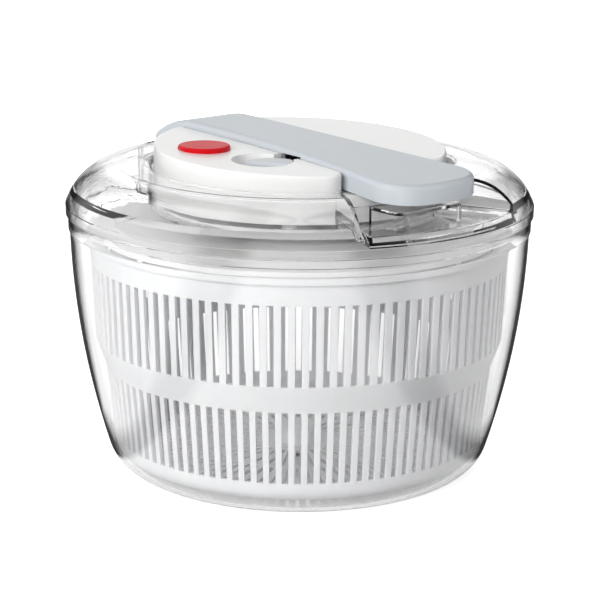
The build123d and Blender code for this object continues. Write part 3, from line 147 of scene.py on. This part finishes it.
class SpinnerSizes(bpy.types.PropertyGroup):
    """Sizes of the pieces that are shaped here."""

    bowl_base: size_prop("Base radius", 90.5, "Radius of the flat that the bowl stands on")
    bowl_knee_radius: size_prop("Knee radius", 105.6, "Radius where the bowl's corner meets its side")
    bowl_knee_height: size_prop("Knee height", 14.0, "Height where the bowl's corner meets its side")
    bowl_corner_sagitta: size_prop("Corner bulge", 2.7, "Bulge of the bowl's corner off its chord")
    bowl_side_sagitta: size_prop("Side bulge", 4.2, "Bulge of the bowl's side off its chord")
    bowl_wall: size_prop("Wall", 1.8, "Thickness of the bowl's wall")
    band_height: size_prop("Rim band height", 8.7, "Height of the thicker band at the bowl's rim")
    band_step: size_prop("Rim band step", 0.8, "How far the rim band stands out of the side")
    rim_round: size_prop("Rim round", 0.7, "Radius on the edges of the rim band")
    pivot_radius: size_prop("Pivot radius", 6.0, "Radius of the pin in the bowl's middle")
    pivot_height: size_prop("Pivot height", 15.5, "Height of the pin in the bowl's middle")
    pivot_chamfer: size_prop("Pivot chamfer", 1.5, "Chamfer on the pin's top")
    wire: size_prop("Spring wire", 1.2, "Diameter of the wire of both springs")
    brake_turns: bpy.props.FloatProperty(
        name="Brake coil turns", description="Turns of the brake's coil", default=6.5
    )
    hinge_turns: bpy.props.FloatProperty(
        name="Hinge coil turns", description="Turns of the lever's coil", default=6.5
    )


class SpinnerColours(bpy.types.PropertyGroup):
    """Colours of the finishes."""

    clear_plastic: colour_prop("Clear plastic", "FEFEFE", "Bowl and lid")
    basket_white: colour_prop("Basket", "F6F7FA", "Basket, a white with a little blue")
    cover_white: colour_prop("Cover", "F2F2F1", "Housing on the lid")
    lever_grey: colour_prop("Lever", "C3C9CE", "Lever, a cool pale grey")
    button_red: colour_prop("Button", "D00C18", "Brake button")
    slider_grey: colour_prop("Slider", "C9CDD1", "Lock slider")
    frame_white: colour_prop("Frame", "F8F8F7", "Frame of the mechanism")
    gear_nylon: colour_prop("Gears", "E9E6DC", "Gears, rack and bushes")
    steel: colour_prop("Steel", "C4C6C8", "Pins, screws and springs")
    brake_rubber: colour_prop("Brake rubber", "2A2A2C", "Brake pad")
    floor: colour_prop("Floor", "F4F4F4", "Paper that the spinner stands on")


def add_node(tree, kind, settings=None, links=None):
    """Adds a node, sets its properties and unlinked sockets, and links sockets to (node, output) pairs."""
    node = tree.nodes.new(kind)
    for key, value in (settings or {}).items():
        if isinstance(key, str) and hasattr(node, key):
            setattr(node, key, value)
        else:
            node.inputs[key].default_value = value
    for key, (source, output) in (links or {}).items():
        tree.links.new(source.outputs[output], node.inputs[key])
    return node


def new_material(name):
    """An empty node material and its tree."""
    material = bpy.data.materials.new(name)
    material.use_nodes = True
    material.node_tree.nodes.clear()
    return material, material.node_tree


def moulded(name, colour, roughness, spread, grain_mm, depth_mm, mottle, extras):
    """Opaque moulded surface: its tone drifts over the longest pattern, its gloss over a shorter one, and a
    fine grain lifts the skin."""
    material, tree = new_material(name)
    place = add_node(tree, "ShaderNodeTexCoord")
    drift, polish, grain = (
        add_node(
            tree,
            "ShaderNodeTexNoise",
            {"Scale": 1 / length, "Detail": detail},
            {"Vector": (place, "Object")},
        )
        for length, detail in ((TONE_LENGTH, 2.0), (GLOSS_LENGTH, 3.0), (grain_mm * MM, 1.0))
    )
    darker = tuple(channel * (1 - mottle) for channel in colour)
    tone = add_node(
        tree,
        "ShaderNodeMix",
        {"data_type": "RGBA", 6: (*darker, 1), 7: (*colour, 1)},
        {"Factor": (drift, "Fac")},
    )
    gloss = add_node(
        tree,
        "ShaderNodeMapRange",
        {"To Min": roughness - spread, "To Max": roughness + spread},
        {"Value": (polish, "Fac")},
    )
    skin = add_node(
        tree,
        "ShaderNodeBump",
        {"Strength": 1.0, "Distance": depth_mm * MM},
        {"Height": (grain, "Fac")},
    )
    shader = add_node(
        tree,
        "ShaderNodeBsdfPrincipled",
        extras,
        {"Base Color": (tone, 2), "Roughness": (gloss, "Result"), "Normal": (skin, "Normal")},
    )
    add_node(tree, "ShaderNodeOutputMaterial", None, {"Surface": (shader, "BSDF")})
    return material


def clear_plastic(colours):
    """Clear SAN, polished in the mould: it bends the background into dark lines at its edges, and its
    walls have long shallow waves from the flow of the melt. Light for shadows goes straight through, less
    what each face turns back."""
    material, tree = new_material("SAN_clear_moulded")
    place = add_node(tree, "ShaderNodeTexCoord")
    flow = add_node(
        tree, "ShaderNodeTexNoise", {"Scale": 1 / FLOW_LENGTH, "Detail": 1.0}, {"Vector": (place, "Object")}
    )
    waves = add_node(
        tree, "ShaderNodeBump", {"Strength": 1.0, "Distance": FLOW_DEPTH}, {"Height": (flow, "Fac")}
    )
    shader = add_node(
        tree,
        "ShaderNodeBsdfPrincipled",
        {
            "Base Color": (*colours.clear_plastic, 1),
            "Roughness": 0.0,
            "IOR": 1.57,
            "Transmission Weight": 1.0,
        },
        {"Normal": (waves, "Normal")},
    )
    passed = [channel * CLEAR_PASS for channel in colours.clear_plastic]
    straight = add_node(tree, "ShaderNodeBsdfTransparent", {"Color": (*passed, 1)})
    path = add_node(tree, "ShaderNodeLightPath")
    surface = add_node(
        tree,
        "ShaderNodeMixShader",
        None,
        {"Fac": (path, "Is Shadow Ray"), 1: (shader, "BSDF"), 2: (straight, "BSDF")},
    )
    add_node(tree, "ShaderNodeOutputMaterial", None, {"Surface": (surface, "Shader")})
    return material


def basket_white(colours):
    """White polypropylene, satin from the mould, a little waxy: light goes through its thin walls, so the
    slots look bright."""
    extras = {
        "IOR": 1.49,
        "Subsurface Weight": 0.5,
        "Subsurface Radius": (1.0, 1.0, 1.1),
        "Subsurface Scale": 3 * MM,
    }
    return moulded(
        "polypropylene_white_moulded",
        colours.basket_white,
        roughness=0.34,
        spread=0.05,
        grain_mm=0.9,
        depth_mm=0.004,
        mottle=0.02,
        extras=extras,
    )


def cover_white(colours):
    """White ABS, smooth from a polished mould: a clean semi-gloss."""
    extras = {"IOR": 1.54, "Coat Weight": 0.15, "Coat Roughness": 0.12}
    return moulded(
        "ABS_white_moulded",
        colours.cover_white,
        roughness=0.3,
        spread=0.04,
        grain_mm=0.8,
        depth_mm=0.003,
        mottle=0.015,
        extras=extras,
    )


def lever_grey(colours):
    """Grey ABS from a finely eroded mould: satin, with a grain that softens highlights. The real grain
    is 0.2 mm, drawn at 0.7 mm so that it shows."""
    return moulded(
        "ABS_grey_satin",
        colours.lever_grey,
        roughness=0.36,
        spread=0.05,
        grain_mm=0.7,
        depth_mm=0.006,
        mottle=0.03,
        extras={"IOR": 1.54},
    )


def button_red(colours):
    """Red ABS, smooth from the mould: deep colour under a thin soft gloss."""
    extras = {"IOR": 1.54, "Specular IOR Level": 0.15}
    return moulded(
        "ABS_red_moulded",
        colours.button_red,
        roughness=0.38,
        spread=0.04,
        grain_mm=0.9,
        depth_mm=0.002,
        mottle=0.04,
        extras=extras,
    )


def slider_grey(colours):
    """Pale grey ABS with a satin finish."""
    return moulded(
        "ABS_pale_grey_satin",
        colours.slider_grey,
        roughness=0.36,
        spread=0.05,
        grain_mm=0.7,
        depth_mm=0.005,
        mottle=0.02,
        extras={"IOR": 1.54},
    )


def frame_white(colours):
    """Natural polypropylene of the hidden frame and the drive plate: dull and milky, and light goes deep
    into it."""
    extras = {
        "IOR": 1.49,
        "Subsurface Weight": 0.25,
        "Subsurface Radius": (1.0, 1.0, 1.0),
        "Subsurface Scale": 3 * MM,
    }
    return moulded(
        "polypropylene_natural",
        colours.frame_white,
        roughness=0.45,
        spread=0.05,
        grain_mm=0.9,
        depth_mm=0.006,
        mottle=0.03,
        extras=extras,
    )


def gear_nylon(colours):
    """Acetal, machined-looking from a fine mould: creamy white with a slippery sheen."""
    return moulded(
        "acetal_natural",
        colours.gear_nylon,
        roughness=0.32,
        spread=0.05,
        grain_mm=0.8,
        depth_mm=0.004,
        mottle=0.03,
        extras={"IOR": 1.48},
    )


def steel(colours):
    """Drawn stainless steel: bright, with fine drawing marks that spread its highlights."""
    return moulded(
        "stainless_steel_drawn",
        colours.steel,
        roughness=0.26,
        spread=0.06,
        grain_mm=0.5,
        depth_mm=0.004,
        mottle=0.05,
        extras={"Metallic": 1.0},
    )


def brake_rubber(colours):
    """Black nitrile rubber: matt, with a dusty bloom."""
    return moulded(
        "nitrile_rubber",
        colours.brake_rubber,
        roughness=0.72,
        spread=0.08,
        grain_mm=0.8,
        depth_mm=0.02,
        mottle=0.15,
        extras={"IOR": 1.52},
    )


FINISHES = {
    "clear_plastic": clear_plastic,
    "basket_white": basket_white,
    "cover_white": cover_white,
    "lever_grey": lever_grey,
    "button_red": button_red,
    "slider_grey": slider_grey,
    "frame_white": frame_white,
    "gear_nylon": gear_nylon,
    "steel": steel,
    "brake_rubber": brake_rubber,
}
made_finishes = {}


def finish(slot):
    """The material of a slot, made on first use."""
    if slot not in made_finishes:
        made_finishes[slot] = FINISHES[slot](bpy.context.scene.spinner_colours)
    return made_finishes[slot]


def dress_nodes(slot):
    """Gives a finish to every node of the frame that takes it."""
    for name in NODE_FINISHES[slot]:
        node = frame["nodes"][name]
        node.data.materials.clear()
        node.data.materials.append(finish(slot))


def arc_points(start, end, sagitta, count):
    """Points of the arc through start and end that stands off its chord, to the right, by the sagitta:
    centre = chord's middle less the rest of the radius, swept from one end's angle to the other's."""
    start, end = np.array(start, float), np.array(end, float)
    chord = end - start
    length = np.hypot(*chord)
    radius = (length**2 / 4 + sagitta**2) / (2 * sagitta)
    right = np.array([chord[1], -chord[0]]) / length
    centre = (start + end) / 2 - right * (radius - sagitta)
    first, last = (math.atan2(*(point - centre)[::-1]) for point in (start, end))
    angles = np.linspace(first, last, count)
    return centre + radius * np.stack([np.cos(angles), np.sin(angles)], axis=1)


def closed_faces(rows, around):
    """Faces of rows of points that each close round, with a fan at both ends on the two points that follow
    the last row."""
    index = np.arange(rows * around).reshape(rows, around)
    after = np.roll(index, -1, axis=1)
    quads = np.stack([index[:-1], after[:-1], after[1:], index[1:]], axis=-1).reshape(-1, 4)
    first, last = rows * around, rows * around + 1
    cap_one = np.stack([np.full(around, first), after[0], index[0]], axis=-1)
    cap_two = np.stack([np.full(around, last), index[-1], after[-1]], axis=-1)
    return quads.tolist() + cap_one.tolist() + cap_two.tolist()


def revolved(profile, steps):
    """Surface of a profile (radius, height) turned round Z: (r cos a, r sin a, h) for evenly spaced a.
    The profile's ends lie on the axis, so each end closes with a fan of triangles on one point."""
    ring = profile[1:-1]
    angles = np.arange(steps) * (2 * math.pi / steps)
    radius, turn = np.meshgrid(ring[:, 0], angles, indexing="ij")
    height = np.broadcast_to(ring[:, 1:2], radius.shape)
    grid = np.stack([radius * np.cos(turn), radius * np.sin(turn), height], axis=-1).reshape(-1, 3)
    poles = np.array([[0, 0, profile[0, 1]], [0, 0, profile[-1, 1]]])
    return np.concatenate([grid, poles]), closed_faces(len(ring), steps)


def carried_tube(path, radius, around):
    """Circle of a radius carried along a path: point + radius (cos a side + sin a up), where side and up
    are square to the path's tangent. Each end closes with a fan on the path's own end point."""
    tangent = np.gradient(path, axis=0)
    tangent /= np.linalg.norm(tangent, axis=1, keepdims=True)
    side = np.cross(tangent, WIRE_LEAN)
    side /= np.linalg.norm(side, axis=1, keepdims=True)
    up = np.cross(tangent, side)
    angles = np.arange(around) * (2 * math.pi / around)
    rim = np.cos(angles)[None, :, None] * side[:, None] + np.sin(angles)[None, :, None] * up[:, None]
    grid = (path[:, None] + radius * rim).reshape(-1, 3)
    return np.concatenate([grid, path[[0, -1]]]), closed_faces(len(path), around)


def new_piece(name, points, faces, slot, body):
    """A smooth mesh piece in its place, with its finish, riding on a body."""
    mesh = bpy.data.meshes.new(name)
    mesh.from_pydata(points.tolist(), [], faces)
    mesh.validate()
    mesh.shade_smooth()
    mesh.materials.append(finish(slot))
    piece = bpy.data.objects.new(name, mesh)
    bpy.context.scene.collection.objects.link(piece)
    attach(piece, body)
    return piece


def coil_path(centre, axis, radius, start, end, turns):
    """Helix about an axis whose pitch closes up at both ends: along = s - closing sin(2 pi s) / (2 pi) of
    the length, so the end turns lie flatter."""
    axis = np.array(axis, float) / np.linalg.norm(axis)
    side = np.cross(axis, COIL_LEAN)
    side /= np.linalg.norm(side)
    up = np.cross(axis, side)
    share = np.linspace(0, 1, int(turns * COIL_STEPS))
    along = start + (end - start) * (share - COIL_CLOSING * np.sin(2 * math.pi * share) / (2 * math.pi))
    angle = 2 * math.pi * turns * share
    spin = np.cos(angle)[:, None] * side + np.sin(angle)[:, None] * up
    return np.array(centre) + along[:, None] * axis + radius * spin


def bowl_profile(sizes):
    """Closed section of the bowl from the axis under its base to the axis on top of its pin: base, corner
    arc, side arc, rim band with rounded edges, then the same wall inside, the floor and the pin."""
    rim, top = BOWL_HIGH[0], BOWL_HIGH[2]
    side = rim - sizes.band_step
    band = top - sizes.band_height
    knee = (sizes.bowl_knee_radius, sizes.bowl_knee_height)
    corner = arc_points((sizes.bowl_base, 0), knee, sizes.bowl_corner_sagitta, CORNER_POINTS)
    flank = arc_points(knee, (side, band), sizes.bowl_side_sagitta, SIDE_POINTS)
    outer = np.concatenate([corner[:-1], flank])
    tangent = np.gradient(outer, axis=0)
    tangent /= np.linalg.norm(tangent, axis=1, keepdims=True)
    inner = outer + sizes.bowl_wall * np.stack([-tangent[:, 1], tangent[:, 0]], axis=1)
    inner = inner[inner[:, 1] > sizes.bowl_wall]
    edge = sizes.rim_round
    bulge = edge * (1 - math.sqrt(0.5))
    lower_edge = arc_points((rim - edge, band), (rim, band + edge), bulge, EDGE_POINTS)
    upper_edge = arc_points((rim, top - edge), (rim - edge, top), bulge, EDGE_POINTS)
    bore = side - sizes.bowl_wall
    inner_edge = arc_points((bore + edge, top), (bore, top - edge), bulge, EDGE_POINTS)
    floor = sizes.bowl_wall
    pin, cut = sizes.pivot_radius, sizes.pivot_chamfer
    flat = np.linspace(0, sizes.bowl_base, FLAT_PARTS + 1)[1:-1]
    under = np.stack([flat, np.zeros_like(flat)], axis=1)
    inside = np.linspace(inner[0, 0], pin, FLAT_PARTS)[1:-1]
    ground = np.stack([inside, np.full_like(inside, floor)], axis=1)
    pin_top = [(pin, floor), (pin, sizes.pivot_height - cut), (pin - cut, sizes.pivot_height)]
    ends = [[(0, 0)], under, outer, lower_edge, upper_edge, inner_edge, inner[::-1], ground, pin_top]
    return np.concatenate([*ends, [(0, sizes.pivot_height)]])


class DressBowl(bpy.types.Operator):
    """Turns the bowl's section into a fine clear wall that stands for the bowl's node"""

    bl_idname = "spinner.bowl"
    bl_label = "Bowl"

    def execute(self, context):
        points, faces = revolved(bowl_profile(context.scene.spinner_sizes), BOWL_STEPS)
        piece = new_piece("bowl_clear", points, faces, "clear_plastic", "bowl")
        piece.data.set_sharp_from_angle(angle=SHARP_ANGLE)
        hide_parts("bowl")
        return {"FINISHED"}


class DressSprings(bpy.types.Operator):
    """Winds the brake's coil and the lever's coil in place of their plain sleeves"""

    bl_idname = "spinner.springs"
    bl_label = "Springs"

    def execute(self, context):
        sizes = context.scene.spinner_sizes
        half = sizes.wire / 2
        low, high = np.array(SPRING_LOW), np.array(SPRING_HIGH)
        centre = [*((low + high) / 2)[:2], 0]
        radius = (high - low)[0] / 2 - half
        path = coil_path(centre, (0, 0, 1), radius, low[2] + half, high[2] - half, sizes.brake_turns)
        points, faces = carried_tube(path, half, WIRE_SIDES)
        coil = new_piece("brake_coil", points, faces, "steel", "lid")
        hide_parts("brake_spring")
        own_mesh(coil)
        low, high = np.array(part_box("lever_spring"))
        axis = np.array(HINGE["axis"])
        reach = np.array([low, high]) - np.array(HINGE["pos_m"])
        radius = (high - low)[2] / 2 - half
        ends = (reach.sum(axis=0) / 2) @ axis
        # the box holds the coil's length and its round ends, both at a slant
        length = ((high - low)[0] - 2 * (radius + half) * abs(axis[1])) / abs(axis[0])
        path = coil_path(
            HINGE["pos_m"],
            axis,
            radius,
            ends - length / 2 + half,
            ends + length / 2 - half,
            sizes.hinge_turns,
        )
        points, faces = carried_tube(path, half, WIRE_SIDES)
        coil = new_piece("hinge_coil", points, faces, "steel", "lid")
        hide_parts("lever_spring")
        return {"FINISHED"}


class DressLid(bpy.types.Operator):
    """Gives the lid its clear plastic, and the bowl's own node, which the fine wall stands for"""

    bl_idname = "spinner.lid"
    bl_label = "Lid"

    def execute(self, context):
        dress_nodes("clear_plastic")
        return {"FINISHED"}


class DressBasket(bpy.types.Operator):
    """Gives the basket its white plastic"""

    bl_idname = "spinner.basket"
    bl_label = "Basket"

    def execute(self, context):
        dress_nodes("basket_white")
        return {"FINISHED"}


class DressTop(bpy.types.Operator):
    """Gives the housing, lever, button and slider their colours"""

    bl_idname = "spinner.top"
    bl_label = "Housing, lever, button and slider"

    def execute(self, context):
        for slot in ("cover_white", "lever_grey", "button_red", "slider_grey"):
            dress_nodes(slot)
        return {"FINISHED"}


class DressMechanism(bpy.types.Operator):
    """Gives the frame, gears, pins and brake inside the housing their materials"""

    bl_idname = "spinner.mechanism"
    bl_label = "Mechanism"

    def execute(self, context):
        for slot in ("frame_white", "gear_nylon", "steel", "brake_rubber"):
            dress_nodes(slot)
        return {"FINISHED"}


# Studio, in metres and watts: the camera, the floor and the lamps (name, place, size, power)
EYE = (0.0, -1.1, 0.3774)
AIM = (0.00056, 0.0, 0.0907)
ROLL = 0.0078
FOCAL_PIXELS = 2053.8
PHOTO_PIXELS = 600
SENSOR = 36.0
FLOOR_HALF = 4.0
FLOOR_POINTS = 9
FLOOR_DROP = 0.0003
LAMPS = (
    ("front_softbox", (-0.9, -1.4, 0.75), 1.1, 26.5),
    ("back_softbox", (-0.3, 1.4, 0.5), 1.3, 18.0),
    ("right_fill", (1.2, -0.5, 0.7), 0.7, 2.0),
)

# Dark flags at both sides: their level, the least |y| that a slope is reckoned with, and the slopes where
# a flag starts, is full, starts to end and is over, in the room and on the floor, where they are painted
# shade
FLAG_LEVEL = 0.05
FLAG_NEAR = 0.05
ROOM_FLAG_ENDS = (0.18, 0.33, 0.6, 1.0)
FLOOR_PAINTED_SHADE_ENDS = (0.18, 0.33, 0.65, 1.1)

# Half width of the strip that the flags and the floor's painted shade start from, beside the spinner and at
# the |y| where it is widest
STRIP_DEEP = 0.06
ROOM_STRIP = (0.0, 0.0)
FLOOR_PAINTED_SHADE_STRIP = (0.088, 0.105)

# The dimmer room in front and the y where it starts and ends, the room's light on dull surfaces, and the
# floor's own white for the eye and through clear walls
FRONT_LEVEL = 0.35
FRONT_ENDS = (-0.6, -0.2)
ROOM_ON_DULL = 0.4
FLOOR_GLOW = 0.7
FLOOR_VIEW_GLOW = 0.3

# Limits of a light path: clear faces that it may cross, and a count of dull bounces that means none yet
CLEAR_BOUNCES = 32
UNDER_ONE_BOUNCE = 0.5


def seen_white(tree):
    """The light path's node, and a value that is 1 for rays that carry a view of the background, off gloss
    or through clear walls, and not the light of a dull surface."""
    path = add_node(tree, "ShaderNodeLightPath")
    either = add_node(
        tree,
        "ShaderNodeMath",
        {"operation": "MAXIMUM"},
        {0: (path, "Is Glossy Ray"), 1: (path, "Is Transmission Ray")},
    )
    sight = add_node(
        tree,
        "ShaderNodeMath",
        {"operation": "LESS_THAN", 1: UNDER_ONE_BOUNCE},
        {0: (path, "Diffuse Depth")},
    )
    view = add_node(tree, "ShaderNodeMath", {"operation": "MULTIPLY"}, {0: (either, 0), 1: (sight, 0)})
    return path, view


def flagged(tree, source, output, strip, ends):
    """Level that is 1 behind and in front of the spinner, falls to a dark flag at each side and rises again
    further round, by (|x| - strip) / |y|: the slope of a line of sight that leaves the spinner's edge, with
    |y| kept off zero. The strip widens from its first value to its second with |y|, as the bowl does with
    height. On the floor the dark flag is painted shade in the paper itself."""
    parts = add_node(tree, "ShaderNodeSeparateXYZ", None, {"Vector": (source, output)})
    side = add_node(tree, "ShaderNodeMath", {"operation": "ABSOLUTE"}, {0: (parts, "X")})
    deep = add_node(tree, "ShaderNodeMath", {"operation": "ABSOLUTE"}, {0: (parts, "Y")})
    edge = add_node(
        tree,
        "ShaderNodeMapRange",
        {"From Min": 0.0, "From Max": STRIP_DEEP, "To Min": strip[0], "To Max": strip[1]},
        {"Value": (deep, 0)},
    )
    past = add_node(
        tree, "ShaderNodeMath", {"operation": "SUBTRACT"}, {0: (side, 0), 1: (edge, "Result")}
    )
    away = add_node(tree, "ShaderNodeMath", {"operation": "MAXIMUM", 1: FLAG_NEAR}, {0: (deep, 0)})
    slope = add_node(tree, "ShaderNodeMath", {"operation": "DIVIDE"}, {0: (past, 0), 1: (away, 0)})
    flag = add_node(
        tree,
        "ShaderNodeMapRange",
        {"From Min": ends[0], "From Max": ends[1], "To Min": 1.0, "To Max": FLAG_LEVEL},
        {"Value": (slope, 0)},
    )
    wall = add_node(
        tree,
        "ShaderNodeMapRange",
        {"From Min": ends[2], "From Max": ends[3], "To Min": 0.0, "To Max": 1 - FLAG_LEVEL},
        {"Value": (slope, 0)},
    )
    return add_node(
        tree, "ShaderNodeMath", {"operation": "ADD"}, {0: (flag, "Result"), 1: (wall, "Result")}
    )


def studio_world(scene):
    """White sweep for the eye, with dark flags at both sides and a dimmer room in front for gloss and clear
    walls to draw edges from."""
    scene.world = bpy.data.worlds.new("studio")
    scene.world.use_nodes = True
    tree = scene.world.node_tree
    tree.nodes.clear()
    way = add_node(tree, "ShaderNodeTexCoord")
    sides = flagged(tree, way, "Generated", ROOM_STRIP, ROOM_FLAG_ENDS)
    parts = add_node(tree, "ShaderNodeSeparateXYZ", None, {"Vector": (way, "Generated")})
    front = add_node(
        tree,
        "ShaderNodeMapRange",
        {"From Min": FRONT_ENDS[0], "From Max": FRONT_ENDS[1], "To Min": FRONT_LEVEL, "To Max": 1.0},
        {"Value": (parts, "Y")},
    )
    level = add_node(
        tree, "ShaderNodeMath", {"operation": "MULTIPLY"}, {0: (sides, 0), 1: (front, "Result")}
    )
    path, view = seen_white(tree)
    around = add_node(
        tree,
        "ShaderNodeMix",
        {"data_type": "FLOAT", 2: ROOM_ON_DULL},
        {"Factor": (view, 0), 3: (level, 0)},
    )
    strength = add_node(
        tree,
        "ShaderNodeMix",
        {"data_type": "FLOAT", 3: 1.0},
        {"Factor": (path, "Is Camera Ray"), 2: (around, 0)},
    )
    light = add_node(tree, "ShaderNodeBackground", {"Color": (1, 1, 1, 1)}, {"Strength": (strength, 0)})
    add_node(tree, "ShaderNodeOutputWorld", None, {"Surface": (light, "Background")})


def floor_paper(colours):
    """Matt white paper: most of what the eye gets is its own white, and the rest its lit face, so that the
    lit floor is white and the object's shadow still shows. Through clear walls more of it is its lit face,
    and both carry painted shade in dark bands beside the spinner, which clear walls show as dark edges."""
    material, tree = new_material("paper_sweep")
    place = add_node(tree, "ShaderNodeTexCoord")
    # painted shade: the paper's colour and glow are darkened in bands beside the spinner for rays through
    # clear walls and off gloss, so that these draw dark edges
    level = flagged(tree, place, "Object", FLOOR_PAINTED_SHADE_STRIP, FLOOR_PAINTED_SHADE_ENDS)
    path, view = seen_white(tree)
    shade = add_node(
        tree,
        "ShaderNodeMix",
        {"data_type": "FLOAT", 2: 1.0},
        {"Factor": (view, 0), 3: (level, 0)},
    )
    tone = add_node(
        tree,
        "ShaderNodeMix",
        {"data_type": "RGBA", 6: (0, 0, 0, 1), 7: (*colours.floor, 1)},
        {"Factor": (shade, 0)},
    )
    lit = add_node(tree, "ShaderNodeBsdfDiffuse", None, {"Color": (tone, 2)})
    through = add_node(
        tree, "ShaderNodeMath", {"operation": "MULTIPLY"}, {0: (view, 0), 1: (level, 0)}
    )
    dimmed = add_node(
        tree, "ShaderNodeMath", {"operation": "MULTIPLY", 1: FLOOR_VIEW_GLOW}, {0: (through, 0)}
    )
    strength = add_node(
        tree,
        "ShaderNodeMath",
        {"operation": "MULTIPLY_ADD", 1: FLOOR_GLOW},
        {0: (path, "Is Camera Ray"), 2: (dimmed, 0)},
    )
    glow = add_node(tree, "ShaderNodeEmission", {"Color": (1, 1, 1, 1)}, {"Strength": (strength, 0)})
    both = add_node(tree, "ShaderNodeAddShader", None, {0: (lit, "BSDF"), 1: (glow, "Emission")})
    add_node(tree, "ShaderNodeOutputMaterial", None, {"Surface": (both, "Shader")})
    return material


class DressStage(bpy.types.Operator):
    """Sets out the paper floor, the lamps, the surroundings and the camera"""

    bl_idname = "spinner.stage"
    bl_label = "Stage"

    def execute(self, context):
        scene = context.scene
        scene.view_settings.view_transform = "Standard"
        # a line of sight through the rim, the lid and the bowl crosses far more clear faces than usual
        scene.cycles.max_bounces = CLEAR_BOUNCES
        scene.cycles.transmission_bounces = CLEAR_BOUNCES
        scene.cycles.transparent_max_bounces = CLEAR_BOUNCES
        studio_world(scene)
        along = np.linspace(-FLOOR_HALF, FLOOR_HALF, FLOOR_POINTS)
        across, deep = np.meshgrid(along, along, indexing="ij")
        points = np.stack([across, deep, np.full_like(across, -FLOOR_DROP)], axis=-1).reshape(-1, 3)
        index = np.arange(FLOOR_POINTS**2).reshape(FLOOR_POINTS, FLOOR_POINTS)
        faces = np.stack([index[:-1, :-1], index[1:, :-1], index[1:, 1:], index[:-1, 1:]], axis=-1)
        mesh = bpy.data.meshes.new("floor")
        mesh.from_pydata(points.tolist(), [], faces.reshape(-1, 4).tolist())
        mesh.materials.append(floor_paper(scene.spinner_colours))
        floor = bpy.data.objects.new("floor", mesh)
        scene.collection.objects.link(floor)
        for name, spot, size, power in LAMPS:
            lamp = bpy.data.lights.new(name, "AREA")
            lamp.size = size
            lamp.energy = power
            holder = bpy.data.objects.new(name, lamp)
            holder.location = spot
            holder.rotation_euler = (Vector(AIM) - Vector(spot)).to_track_quat("-Z", "Y").to_euler()
            holder.visible_glossy = False
            holder.visible_transmission = False
            scene.collection.objects.link(holder)
        camera = bpy.data.cameras.new("camera")
        camera.sensor_width = SENSOR
        camera.lens = FOCAL_PIXELS / PHOTO_PIXELS * SENSOR
        holder = bpy.data.objects.new("camera", camera)
        turn = (Vector(AIM) - Vector(EYE)).to_track_quat("-Z", "Y").to_matrix().to_4x4()
        holder.matrix_world = Matrix.Translation(EYE) @ turn @ Matrix.Rotation(ROLL, 4, "Z")
        scene.collection.objects.link(holder)
        scene.camera = holder
        return {"FINISHED"}


STEPS = (DressBowl, DressLid, DressBasket, DressTop, DressMechanism, DressSprings, DressStage)


class SpinnerPanel(bpy.types.Panel):
    """Lists the steps with the sizes and colours that they use"""

    bl_idname = "VIEW3D_PT_spinner"
    bl_label = "Salad spinner"
    bl_space_type = "VIEW_3D"
    bl_region_type = "UI"
    bl_category = "Spinner"

    def draw(self, context):
        for step in STEPS:
            self.layout.operator(step.bl_idname)
        for group in (context.scene.spinner_sizes, context.scene.spinner_colours):
            column = self.layout.column()
            for name in group.__annotations__:
                column.prop(group, name)


CLASSES = (SpinnerSizes, SpinnerColours, *STEPS, SpinnerPanel)


def register():
    """Adds the classes and the scene's sizes and colours."""
    for entry in CLASSES:
        bpy.utils.register_class(entry)
    bpy.types.Scene.spinner_sizes = bpy.props.PointerProperty(type=SpinnerSizes)
    bpy.types.Scene.spinner_colours = bpy.props.PointerProperty(type=SpinnerColours)


def unregister():
    """Takes them away again."""
    del bpy.types.Scene.spinner_colours
    del bpy.types.Scene.spinner_sizes
    for entry in reversed(CLASSES):
        bpy.utils.unregister_class(entry)


def main():
    """Registers the classes and runs the steps in order."""
    register()
    for step in STEPS:
        group, name = step.bl_idname.split(".")
        getattr(getattr(bpy.ops, group), name)()


if __name__ == "__main__":
    main()
